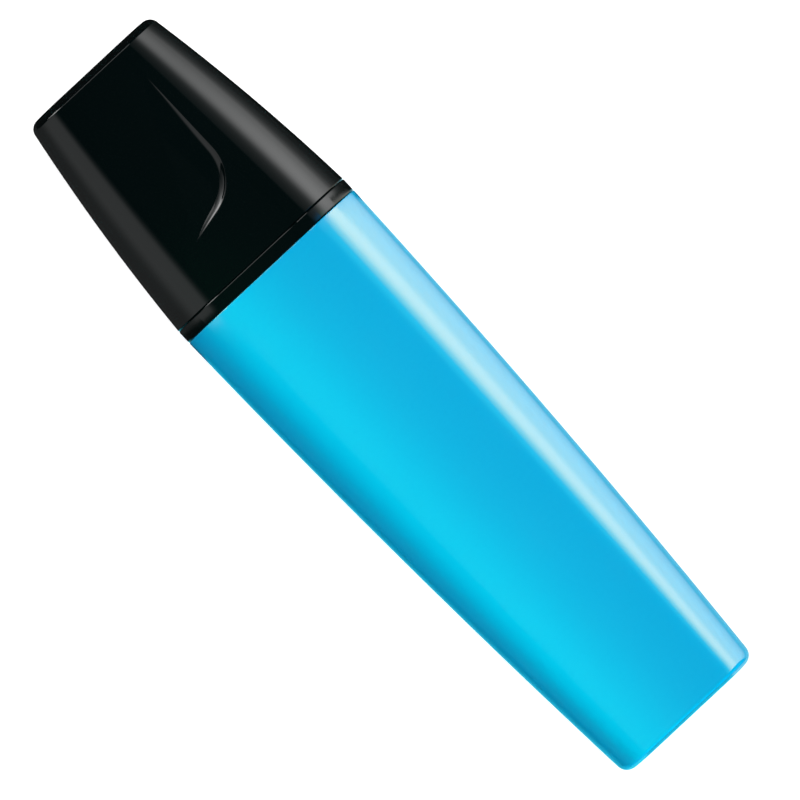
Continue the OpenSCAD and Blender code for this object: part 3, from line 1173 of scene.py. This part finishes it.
@dataclass
class Scoop:
    """The shallow thumb scoop in a broad face: its outline and how deep it lies.

    Places are v along the cap from its rim and w across it.
    """

    offset: float = 4.6
    start: float = 7.4
    slant: float = 13.0
    radius: float = 6.2
    depth: float = 0.6
    run: float = 17.8
    span: float = 9.4
    wall: float = 1.1
    wall_fade: float = 0.32
    wall_power: float = 1.6
    wall_edge: float = 0.3
    wall_rows: int = 16
    slant_edges: int = 16
    bend_edges: int = 24
    long_edges: int = 24

    @property
    def lean(self) -> Vector:
        """Direction of the slanted end."""
        angle = math.radians(self.slant)
        return Vector((-math.sin(angle), math.cos(angle)))

    @property
    def corner(self) -> Vector:
        """Corner that the bend rounds off."""
        return Vector((self.start + self.offset * math.tan(math.radians(self.slant)), -self.offset))

    @property
    def turn(self) -> float:
        """Angle of the bend."""
        return math.radians(90 - self.slant)

    @property
    def centre(self) -> Vector:
        """Centre of the bend."""
        return self.corner + Vector((self.radius * math.tan(self.turn / 2), self.radius))

    def depth_at(self, place: Vector) -> float:
        """Gives the depth of the floor below the broad face at a place."""
        across = (place.y - self.corner.y) / self.lean.y
        along = place.x - self.corner.x - across * self.lean.x
        return self.depth * (1 - along / self.run - across / self.span)

    def wall_at(self, place: Vector) -> float:
        """Gives the width of the wall at a place of the outline, which narrows where the scoop runs out."""
        return self.wall * max(self.depth_at(place) / self.depth, 0.0) ** self.wall_fade

    def sink(self, share: float) -> float:
        """Gives the share of the depth that the wall has reached at a share of its width."""
        return (1 - (1 - share) ** self.wall_power) * ease(min(share / self.wall_edge, 1.0))

    def outward(self, place: Vector) -> Vector:
        """Gives the direction straight out of the scoop at a place of its outline."""
        toward = self.centre - place
        angle = min(max(math.atan2(toward.x, toward.y), 0.0), self.turn)
        return -Vector((math.sin(angle), math.cos(angle)))

    def draw(self, bm: BMesh) -> list[BMEdge]:
        """Draws the outline from the end of the slant round the bend to the end of the long edge.

        Args:
            bm: Mesh that it is drawn in, with v as x and w as y.

        Returns:
            The edges of the outline.
        """
        before = set(bm.edges)
        tip = self.corner + self.lean * self.span
        bend_start = self.centre - self.radius * Vector((math.sin(self.turn), math.cos(self.turn)))
        vert = bmesh.ops.create_vert(bm, co=tip.to_3d())["vert"][0]
        vert = self._draw_line(bm, vert, bend_start, self.slant_edges)
        bend = bmesh.ops.spin(
            bm,
            geom=[vert],
            cent=self.centre.to_3d(),
            axis=(0, 0, 1),
            angle=self.turn,
            steps=self.bend_edges,
        )
        vert = next(item for item in bend["geom_last"] if isinstance(item, BMVert))
        self._draw_line(bm, vert, self.corner + Vector((self.run, 0)), self.long_edges)
        return [edge for edge in bm.edges if edge not in before]

    def _draw_line(self, bm: BMesh, vert: BMVert, end: Vector, count: int) -> BMVert:
        """Draws a straight part of the outline in count edges and gives its last vertex."""
        start = vert.co.copy()
        return extend(bm, vert, [start.lerp(end.to_3d(), share) for share in steps(0, 1, count)])


@dataclass
class Cap(SubAssembly):
    """The tapering cap with a thumb scoop on each broad face."""

    end: CrownedEnd = CrownedEnd(corner=1.1, crown=0.9, edge=0.15)
    rim_lip: float = 0.08
    rim_lead_in: float = 0.2
    long_rows: int = 36
    inner_rows: int = 14
    lip_rows: int = 6
    lead_in_rows: int = 4
    scoop: Scoop = field(default_factory=Scoop)

    def build(self) -> None:
        """Models the cap in one loft, from its end over the rim to its floor, and sinks the scoops."""
        form = self.form
        wall = form.cap_wall
        snap = form.cap_start + form.snap_distance - 2 * form.bead_half
        bm = bmesh.new()
        first, *rest = (self._end_ring(depth) for depth in self.end.depths())
        loft = Loft(bm, first).close().grow(rest)
        sides = steps(form.cap_end - self.end.reach, form.rim + self.rim_lip, self.long_rows)
        loft.grow(form.cap_ring(x) for x in sides)
        lip = quarter_round(self.rim_lip, self.lip_rows)
        loft.grow(form.cap_ring(form.rim + depth, inset) for depth, inset in reversed(lip[:-1]))
        lead_in = quarter_round(self.rim_lead_in, self.lead_in_rows)
        loft.grow(form.cap_ring(form.rim + depth, wall - inset) for depth, inset in lead_in)
        inner_bead = bead(snap, form.bead_half, form.snap_bead)
        loft.grow(form.cap_ring(x, wall + height) for x, height in inner_bead)
        inside = steps(snap + form.bead_half, form.cap_end - wall, self.inner_rows)
        loft.grow(form.cap_ring(x, wall) for x in inside)
        loft.close().finish()
        home = bm.verts.layers.float_vector.new("home")
        for face in Face:
            self._sink_scoop(bm, face, home)
        bm.verts.layers.float_vector.remove(home)
        self.publish(bm, "cap_shell", Body.CAP, "black_plastic", "cap")

    def _end_ring(self, depth: float) -> Ring:
        """Gives a ring of the cap's closed end."""
        x = self.form.cap_end - depth
        half = self.form.cap_ring(x).half_thickness
        return self.form.cap_ring(x, self.end.inset(depth), self.end.drop(depth, half))

    def _is_broad(self, item: BMFace, face: Face) -> bool:
        """Says whether a face of the loft belongs to the flat of one broad face.

        Args:
            item: Face of the loft.
            face: The broad face.

        Returns:
            True for a strip of the outer flat between the rim's lip and the end's round.
        """
        form = self.form
        first = form.rim + self.rim_lip
        last = form.cap_end - self.end.reach
        on_face = all(
            abs(self._sunk(vert, face)) < ON_FACE and first - ON_FACE < vert.co.x < last + ON_FACE
            for vert in item.verts
        )
        ways = {vert.co.y > 0 for vert in item.verts}
        return on_face and len(ways) == 2

    def _sink_scoop(self, bm: BMesh, face: Face, home: Any) -> None:
        """Sinks a scoop into one broad face.

        Args:
            bm: Mesh of the cap.
            face: The broad face.
            home: Layer that keeps each vertex's place on the scoop's outline.
        """
        panels = [item for item in bm.faces if self._is_broad(item, face)]
        border = {edge for panel in panels for edge in panel.edges}
        bmesh.ops.delete(bm, geom=panels, context="FACES")
        border = [edge for edge in border if edge.is_valid]
        outer, inner, ends = self._raise_wall(bm, face, home)
        seam = bmesh.ops.contextual_create(bm, geom=ends)["edges"]
        for edges in ([*border, *outer, *seam], [*inner, *seam]):
            bmesh.ops.triangle_fill(bm, use_beauty=True, edges=edges, normal=(0, 0, face.value))

    def _raise_wall(
        self, bm: BMesh, face: Face, home: Any
    ) -> tuple[list[BMEdge], list[BMEdge], list[BMVert]]:
        """Models the scoop's wall, which has a small round at the face and runs softly into the floor.

        Args:
            bm: Mesh of the cap.
            face: The broad face.
            home: Layer that keeps each vertex's place on the scoop's outline.

        Returns:
            The wall's edges on the broad face, its edges on the floor, and its two ends.
        """
        scoop = self.scoop
        before = set(bm.verts)
        row = scoop.draw(bm)
        for vert in {vert for edge in row for vert in edge.verts}:
            vert[home] = vert.co
        shares = steps(0, 1, scoop.wall_rows)
        beside = -shares[1]
        self._settle(row, home, beside)
        for share in shares:
            geom = bmesh.ops.extrude_edge_only(bm, edges=row)["geom"]
            row = [item for item in geom if isinstance(item, BMEdge) and item.is_boundary]
            row = [edge for edge in row if all(vert in geom for vert in edge.verts)]
            self._settle(row, home, share)
        wall = [vert for vert in bm.verts if vert not in before]
        bmesh.ops.remove_doubles(bm, verts=wall, dist=TOUCHING)
        wall = [vert for vert in bm.verts if vert not in before]
        if face is Face.UNDER:
            bmesh.ops.rotate(bm, matrix=Matrix.Rotation(math.pi, 3, "X"), verts=wall)
        rims = {edge for vert in wall for edge in vert.link_edges if edge.is_boundary}
        outer = [edge for edge in rims if all(self._sunk(vert, face) < TOUCHING for vert in edge.verts)]
        inner = [edge for edge in rims if edge not in outer]
        on_outer = {vert for edge in outer for vert in edge.verts}
        on_inner = {vert for edge in inner for vert in edge.verts}
        return outer, inner, list(on_outer & on_inner)

    def _settle(self, row: list[BMEdge], home: Any, share: float) -> None:
        """Moves one row of the scoop's wall to its place.

        Args:
            row: Edges of the row.
            home: Layer that holds each vertex's place on the outline.
            share: Share of the way from the broad face to the floor, below nought on the face beside it.
        """
        form, scoop = self.form, self.scoop
        sink = scoop.sink(max(share, 0.0))
        for vert in {vert for edge in row for vert in edge.verts}:
            place = vert[home].to_2d()
            place = place - scoop.outward(place) * scoop.wall_at(place) * share
            top = form.cap_ring(form.cap_start + place.x).half_thickness
            vert.co = (form.cap_start + place.x, place.y, top - sink * scoop.depth_at(place))

    def _sunk(self, vert: BMVert, face: Face) -> float:
        """Gives how far a vertex lies below a broad face."""
        return self.form.cap_ring(vert.co.x).half_thickness - face.value * vert.co.z

    def dress(self) -> None:
        """Gives the cap its black gloss."""
        self.coat(self.pieces[0], BLACK_GLOSS)


@dataclass
class InnerCap(SubAssembly):
    """The sealing sleeve inside the cap."""

    radius: float = 4.972
    bore: float = 4.272
    end_radius: float = 4.095
    wall: float = 0.7
    seal_length: float = 3.44
    mouth_round: float = 0.25
    turn_steps: int = 96

    def build(self) -> None:
        """Models the sleeve by turning its outline round the axis."""
        mouth, end = self.form.reach("inner_cap")
        closed = end - self.wall
        outline = [
            (end, 0.0),
            (end, self.end_radius - self.mouth_round),
            (end - self.mouth_round, self.end_radius),
            (mouth + self.seal_length, self.radius),
            (mouth + self.mouth_round, self.radius),
            (mouth, self.radius - self.mouth_round),
            (mouth, self.bore + self.mouth_round),
            (mouth + self.mouth_round, self.bore),
            (mouth + self.seal_length, self.bore),
            (closed, self.end_radius - self.wall),
            (closed, 0.0),
        ]
        bm = bmesh.new()
        first, *rest = ((x, 0, radius) for x, radius in outline)
        extend(bm, bmesh.ops.create_vert(bm, co=first)["vert"][0], rest)
        bmesh.ops.spin(
            bm,
            geom=[*bm.verts, *bm.edges],
            cent=(0, 0, 0),
            axis=(1, 0, 0),
            angle=2 * math.pi,
            steps=self.turn_steps,
            use_merge=True,
        )
        bmesh.ops.remove_doubles(bm, verts=bm.verts, dist=TOUCHING)
        self.publish(bm, "inner_cap_sleeve", Body.CAP, "seal_plastic", "inner_cap")

    def dress(self) -> None:
        """Gives the sleeve its satin black."""
        self.coat(self.pieces[0], BLACK_SATIN)


# Studio


class Side(Enum):
    """The sides of the pen that a card can hang on, in degrees from +X towards +Y."""

    END = 0
    SCOOP = 13
    LEFT = 90
    REAR = 180
    RIGHT = -90


@dataclass(frozen=True)
class Panel:
    """One soft light that shades the pen: its place, what it looks at, its size in metres and its watts."""

    name: str
    place: Point
    aim: Point
    size: tuple[float, float]
    power: float
    tint: Colour = WHITE

    def hang(self) -> None:
        """Hangs the light so that it leaves no image of itself on the gloss."""
        light = bpy.data.lights.new(self.name, "AREA")
        light.color = self.tint
        light.shape = "RECTANGLE"
        light.size, light.size_y = self.size
        light.energy = self.power
        lamp = bpy.data.objects.new(self.name, light)
        lamp.location = self.place
        lamp.rotation_euler = (Vector(self.aim) - Vector(self.place)).to_track_quat("-Z", "Y").to_euler()
        lamp.visible_camera = False
        lamp.visible_glossy = False
        bpy.context.scene.collection.objects.link(lamp)


def matt_black(name: str) -> tuple[bpy.types.Material, Graph, bpy.types.Node]:
    """Starts a material that reflects nothing.

    Args:
        name: Name of the material.

    Returns:
        The material, its graph and its Principled shader.
    """
    material, graph, shader = new_material(name)
    shader.inputs["Base Color"].default_value = (0, 0, 0, 1)
    shader.inputs["Specular IOR Level"].default_value = 0
    return material, graph, shader


def stage_for_gloss(bm: BMesh, name: str, material: bpy.types.Material) -> bpy.types.Object:
    """Makes a mesh a thing of the studio that only the gloss sees.

    Args:
        bm: The mesh in metres, which is freed.
        name: Name of the thing.
        material: Its material.

    Returns:
        The new object.
    """
    mesh = bpy.data.meshes.new(name)
    bm.to_mesh(mesh)
    bm.free()
    mesh.materials.append(material)
    thing = bpy.data.objects.new(name, mesh)
    thing.visible_camera = False
    thing.visible_diffuse = False
    thing.visible_shadow = False
    bpy.context.scene.collection.objects.link(thing)
    return thing


@dataclass(frozen=True)
class Card:
    """One glowing card, curved round the pen, that only the gloss sees.

    Its span is where it starts and ends along its axis, in metres to the right as seen from the card.
    Its glow is the radiance at angles from overhead, in degrees, and its fade is the share of the glow at
    places along its axis.
    """

    name: str
    side: Side
    span: tuple[float, float]
    radius: float
    glow: Curve
    fade: Curve = ((-1.0, 1.0), (1.0, 1.0))
    tint: Colour = WHITE
    curve_steps: int = 64

    def hang(self, height: float) -> None:
        """Hangs the card round an axis at a height above the floor."""
        first, last = (math.radians(self.glow[i][0]) for i in (0, -1))
        bm = bmesh.new()
        left = bmesh.ops.create_vert(bm, co=(0, self.span[0], self.radius))["vert"]
        right = bmesh.ops.extrude_vert_indiv(bm, verts=left)["verts"]
        bmesh.ops.translate(bm, vec=(0, self.span[1] - self.span[0], 0), verts=right)
        bmesh.ops.rotate(bm, matrix=Matrix.Rotation(first, 3, "Y"), verts=bm.verts)
        bmesh.ops.spin(
            bm,
            geom=[*bm.verts, *bm.edges],
            cent=(0, 0, 0),
            axis=(0, 1, 0),
            angle=last - first,
            steps=self.curve_steps,
        )
        card = stage_for_gloss(bm, self.name, self._material())
        card.location.z = height
        card.rotation_euler.z = math.radians(self.side.value)

    def _material(self) -> bpy.types.Material:
        """Gives the card's glow, which changes from part to part of its curve and along its axis.

        Returns:
            The material.
        """
        material, graph, shader = matt_black(self.name)
        coords = graph.add("ShaderNodeTexCoord")
        parts = graph.add("ShaderNodeSeparateXYZ", {"Vector": coords.outputs["Object"]})
        angle = graph.math("ARCTAN2", parts.outputs["X"], parts.outputs["Z"])
        glow = graph.curve(graph.math("MULTIPLY", angle, math.degrees(1)), self.glow)
        strength = graph.math("MULTIPLY", glow, graph.curve(parts.outputs["Y"], self.fade))
        shader.inputs["Emission Color"].default_value = (*self.tint, 1)
        graph.feed(shader.inputs["Emission Strength"], strength)
        return material


@dataclass(frozen=True)
class Flag:
    """A black flag that stands on edge over the pen and shades its broad face from a card in low views.

    Its foot is a line of points, and its height is how far it stands up from there.
    """

    name: str
    foot: tuple[Point, ...]
    height: float

    def stand(self) -> None:
        """Stands the flag up."""
        bm = bmesh.new()
        first, *rest = self.foot
        extend(bm, bmesh.ops.create_vert(bm, co=first)["vert"][0], rest)
        top = bmesh.ops.extrude_edge_only(bm, edges=list(bm.edges))["geom"]
        raised = [item for item in top if isinstance(item, BMVert)]
        bmesh.ops.translate(bm, vec=(0, 0, self.height), verts=raised)
        stage_for_gloss(bm, self.name, matt_black(self.name)[0])


# Glow of the cards: radiance at angles from overhead, in degrees
BARREL_SHOULDER_GLOW = (
    (8, 0.0),
    (10, 0.7),
    (15, 3.4),
    (19, 4.6),
    (23, 5.4),
)
BARREL_TURN_GLOW = (
    (23, 2.2),
    (26, 3.2),
    (30, 4.6),
    (32, 5.2),
)
BARREL_RISE_GLOW = (
    (32, 4.2),
    (36, 5.6),
    (42, 7.6),
)
BARREL_GLOW = (
    (42, 6.8),
    (50, 7.8),
    (60, 7.9),
    (70, 7.0),
)
BARREL_SIDE_GLOW = (
    (70, 7.0),
    (80, 5.4),
    (86, 4.7),
    (97, 4.1),
    (104, 3.7),
    (111, 3.2),
    (123, 2.2),
    (131, 1.6),
    (139, 1.05),
    (147, 0.5),
)
BARREL_LOW_GLOW = (
    (147, 0.5),
    (156, 0.7),
    (178, 0.9),
)
CAP_GLOW = (
    (8.5, 0.0),
    (10, 0.3),
    (14, 0.45),
    (18, 0.65),
    (22, 0.9),
    (28, 1.8),
    (35, 4.5),
    (42, 7.2),
    (50, 8.4),
    (60, 8.2),
    (74, 6.5),
)
CAP_EDGE_GLOW = (
    (74, 6.5),
    (80, 5.4),
    (90, 4.0),
    (101, 1.6),
    (111, 0.6),
    (120, 0.28),
    (132, 0.08),
    (150, 0.03),
)
CAP_LEFT_GLOW = (
    (15, 0.0),
    (19, 0.12),
    (23, 0.4),
    (28, 1.0),
    (33, 1.4),
    (45, 1.45),
    (68, 1.37),
)
CAP_LEFT_EDGE_GLOW = (
    (68, 1.37),
    (80, 1.05),
    (90, 0.7),
    (101, 0.42),
    (111, 0.27),
    (132, 0.12),
    (150, 0.06),
    (165, 0.03),
)
SCOOP_GLOW = (
    (27, 0.0),
    (30, 0.4),
    (37, 1.2),
    (43, 2.2),
    (47, 3.4),
    (51, 5.2),
    (55, 7.0),
    (60, 12.0),
    (64, 15.0),
    (70, 15.0),
)
SCOOP_EDGE_GLOW = (
    (70, 15.0),
    (110, 15.0),
)
LOW_GLOW = (
    (140, 0.0),
    (150, 0.15),
    (160, 0.6),
    (178, 0.9),
)
END_GLOW = (
    (26, 4.0),
    (60, 4.0),
)

# Share of the glow at places along a card's axis
BARREL_FADE = ((-0.071, 0.85), (0.036, 1.0))
COLLAR_FADE = ((-1.0, 0.72), (1.0, 0.72))
CAP_FADE = ((0.087, 1.0), (0.122, 0.67))
SCOOP_FADE = (
    (-0.05, 1.0),
    (0.02, 1.0),
    (0.06, 0.38),
    (0.10, 0.2),
    (0.14, 0.15),
    (0.20, 0.08),
)

# Spans of the cards on the long sides, which part where the collar shows them
BARREL_SPAN = (-0.15, 0.0240)
BARREL_SIDE_SPAN = (-0.15, 0.0222)
COLLAR_SPAN = (0.0222, 0.0240)
CAP_SPAN = (0.0240, 0.19)
CAP_EDGE_SPAN = (0.0266, 0.19)
CAP_LEFT_SPAN = (-0.19, -0.0244)
CAP_LEFT_EDGE_SPAN = (-0.19, -0.0266)
BARREL_LEFT_SPAN = (-0.0205, 0.19)
SIDE_DISTANCE = 0.30

PALE_CYAN = (0.05, 0.8, 1.0)


@dataclass
class Studio:
    """Floor, lights and camera.

    Places and sizes are in metres, the lens and the sensor in millimetres and the turn in degrees.
    """

    form: PenForm
    floor_size: float = 6.0
    floor_gap: float = 0.0001
    floor_grain: float = 300.0
    floor_tones: tuple[Colour, Colour] = ((0.84, 0.84, 0.84), (0.86, 0.86, 0.86))
    floor_roughness: float = 0.9
    floor_glow: float = 0.7
    room_colour: Colour = (0.012, 0.012, 0.012)
    backdrop_colour: Colour = (0.95, 0.95, 0.95)
    lens: float = 600.0
    sensor: float = 36.0
    view_width: float = 0.09541
    view_turn: float = -133.0
    view_offset: tuple[float, float] = (-0.001382, -0.000361)
    panels: tuple[Panel, ...] = (
        Panel("Top panel", place=(0.0, -0.15, 0.70), aim=(0, 0, 0), size=(0.90, 0.90), power=7.5),
        Panel("Rear panel", place=(-1.2, 0.0, 0.15), aim=(0, 0, 0.0085), size=(0.60, 0.40), power=9.0),
        Panel(
            "Right panel",
            place=(-0.016, -0.40, 0.02),
            aim=(-0.016, 0, 0.0085),
            size=(0.30, 0.10),
            power=0.3,
            tint=(1.0, 1.0, 0.7),
        ),
        Panel(
            "Barrel strip",
            place=(-0.016, 0.0072, 0.0245),
            aim=(-0.016, 0.0072, 0),
            size=(0.092, 0.002),
            power=0.0025,
            tint=(0.05, 1.0, 0.4),
        ),
    )
    cards: tuple[Card, ...] = (
        *(
            Card(name, Side.RIGHT, span, SIDE_DISTANCE, glow, fade, tint)
            for name, span, glow, fade, tint in (
                ("Barrel shoulder card", BARREL_SPAN, BARREL_SHOULDER_GLOW, BARREL_FADE, (0.05, 0.47, 1.0)),
                ("Barrel turn card", BARREL_SPAN, BARREL_TURN_GLOW, BARREL_FADE, (0.6, 1.0, 0.85)),
                ("Barrel rise card", BARREL_SPAN, BARREL_RISE_GLOW, BARREL_FADE, (0.85, 1.0, 0.95)),
                ("Barrel card", BARREL_SPAN, BARREL_GLOW, BARREL_FADE, WHITE),
                ("Barrel side card", BARREL_SIDE_SPAN, BARREL_SIDE_GLOW, BARREL_FADE, (1.0, 1.0, 0.8)),
                ("Barrel front card", COLLAR_SPAN, BARREL_SIDE_GLOW, COLLAR_FADE, WHITE),
                ("Barrel low card", BARREL_SIDE_SPAN, BARREL_LOW_GLOW, BARREL_FADE, (0.35, 0.85, 1.0)),
                ("Cap card", CAP_SPAN, CAP_GLOW, CAP_FADE, WHITE),
                ("Cap edge card", CAP_EDGE_SPAN, CAP_EDGE_GLOW, CAP_FADE, WHITE),
            )
        ),
        Card("Cap left card", Side.LEFT, CAP_LEFT_SPAN, SIDE_DISTANCE, CAP_LEFT_GLOW),
        Card("Cap left edge card", Side.LEFT, CAP_LEFT_EDGE_SPAN, SIDE_DISTANCE, CAP_LEFT_EDGE_GLOW),
        Card("Barrel left edge card", Side.LEFT, BARREL_LEFT_SPAN, SIDE_DISTANCE, LOW_GLOW, tint=PALE_CYAN),
        Card("Rear edge card", Side.REAR, (-0.1, 0.1), 0.35, LOW_GLOW, tint=PALE_CYAN),
        Card("End card", Side.END, (-0.06, 0.018), 0.42, END_GLOW),
        Card("Scoop card", Side.SCOOP, (-0.05, 0.20), 0.40, SCOOP_GLOW, SCOOP_FADE),
        Card("Scoop edge card", Side.SCOOP, (-0.05, 0.06), 0.40, SCOOP_EDGE_GLOW, SCOOP_FADE),
    )
    flag: Flag = Flag(
        "Black flag",
        foot=((-0.0540, -0.0058, 0.01706), (0.0224, -0.0058, 0.01706), (0.0525, -0.0043, 0.01406)),
        height=0.024,
    )

    def set_up(self) -> None:
        """Lays the floor, hangs the lights and puts up the camera."""
        self._lay_floor()
        self._paint_surround()
        for panel in self.panels:
            panel.hang()
        for card in self.cards:
            card.hang(self.form.axis)
        self.flag.stand()
        self._put_up_camera()
        bpy.context.scene.view_settings.view_transform = "Standard"

    def _lay_floor(self) -> None:
        """Lays the pale floor that the pen lies on."""
        bm = bmesh.new()
        bmesh.ops.create_grid(bm, x_segments=1, y_segments=1, size=self.floor_size / 2)
        mesh = bpy.data.meshes.new("floor")
        bm.to_mesh(mesh)
        bm.free()
        floor = bpy.data.objects.new("floor", mesh)
        floor.location.z = -self.floor_gap
        floor.visible_glossy = False
        bpy.context.scene.collection.objects.link(floor)
        material, graph, shader = new_material("Pale floor")
        grain = graph.between(graph.noise(self.floor_grain), 0, 1, span=(0.3, 0.7))
        tones = ((*tone, 1) for tone in self.floor_tones)
        graph.feed(shader.inputs["Base Color"], graph.blend(grain, *tones))
        shader.inputs["Roughness"].default_value = self.floor_roughness
        shader.inputs["Emission Color"].default_value = (*WHITE, 1)
        shader.inputs["Emission Strength"].default_value = self.floor_glow
        self._clear_from_below(graph, shader)
        mesh.materials.append(material)

    def _clear_from_below(self, graph: Graph, shader: bpy.types.Node) -> None:
        """Lets the pen's underside be seen through the floor from below.

        Args:
            graph: Nodes of the floor's material.
            shader: The floor's own shader.
        """
        side = graph.add("ShaderNodeNewGeometry")
        clear = graph.add("ShaderNodeBsdfTransparent")
        seen = graph.mix_shaders(side.outputs["Backfacing"], shader, clear)
        graph.feed(graph.tree.nodes["Material Output"].inputs["Surface"], seen)

    def _paint_surround(self) -> None:
        """Paints the dim room round the set, which the camera sees as plain white."""
        world = bpy.data.worlds.new("Room")
        world.use_nodes = True
        bpy.context.scene.world = world
        graph = Graph(world.node_tree)
        room = graph.tree.nodes["Background"]
        room.inputs["Color"].default_value = (*self.room_colour, 1)
        backdrop = graph.add("ShaderNodeBackground", {"Color": (*self.backdrop_colour, 1)})
        path = graph.add("ShaderNodeLightPath")
        seen = graph.mix_shaders(path.outputs["Is Camera Ray"], room, backdrop)
        graph.feed(graph.tree.nodes["World Output"].inputs["Surface"], seen)

    def _put_up_camera(self) -> None:
        """Puts up the camera straight above the pen."""
        camera = bpy.data.cameras.new("Camera")
        camera.sensor_width = self.sensor
        camera.lens = self.lens
        stand = bpy.data.objects.new("Camera", camera)
        distance = self.view_width * self.lens / self.sensor
        stand.location = (*self.view_offset, self.form.axis + distance)
        stand.rotation_euler = (0, 0, math.radians(self.view_turn))
        bpy.context.scene.collection.objects.link(stand)
        bpy.context.scene.camera = stand


def main() -> None:
    """Builds and dresses every sub-assembly in order, then sets up the studio."""
    logging.basicConfig(level=logging.INFO, format="%(name)s: %(message)s")
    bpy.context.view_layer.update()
    form = PenForm.from_frame()
    for assembly in (Barrel(form), FrontSection(form), Nib(form), InkCore(form), Cap(form), InnerCap(form)):
        assembly.build()
        assembly.dress()
        for piece in assembly.pieces:
            LOG.info("%s: %s, %d faces", type(assembly).__name__, piece.name, len(piece.data.polygons))
    Studio(form).set_up()


if __name__ == "__main__":
    main()
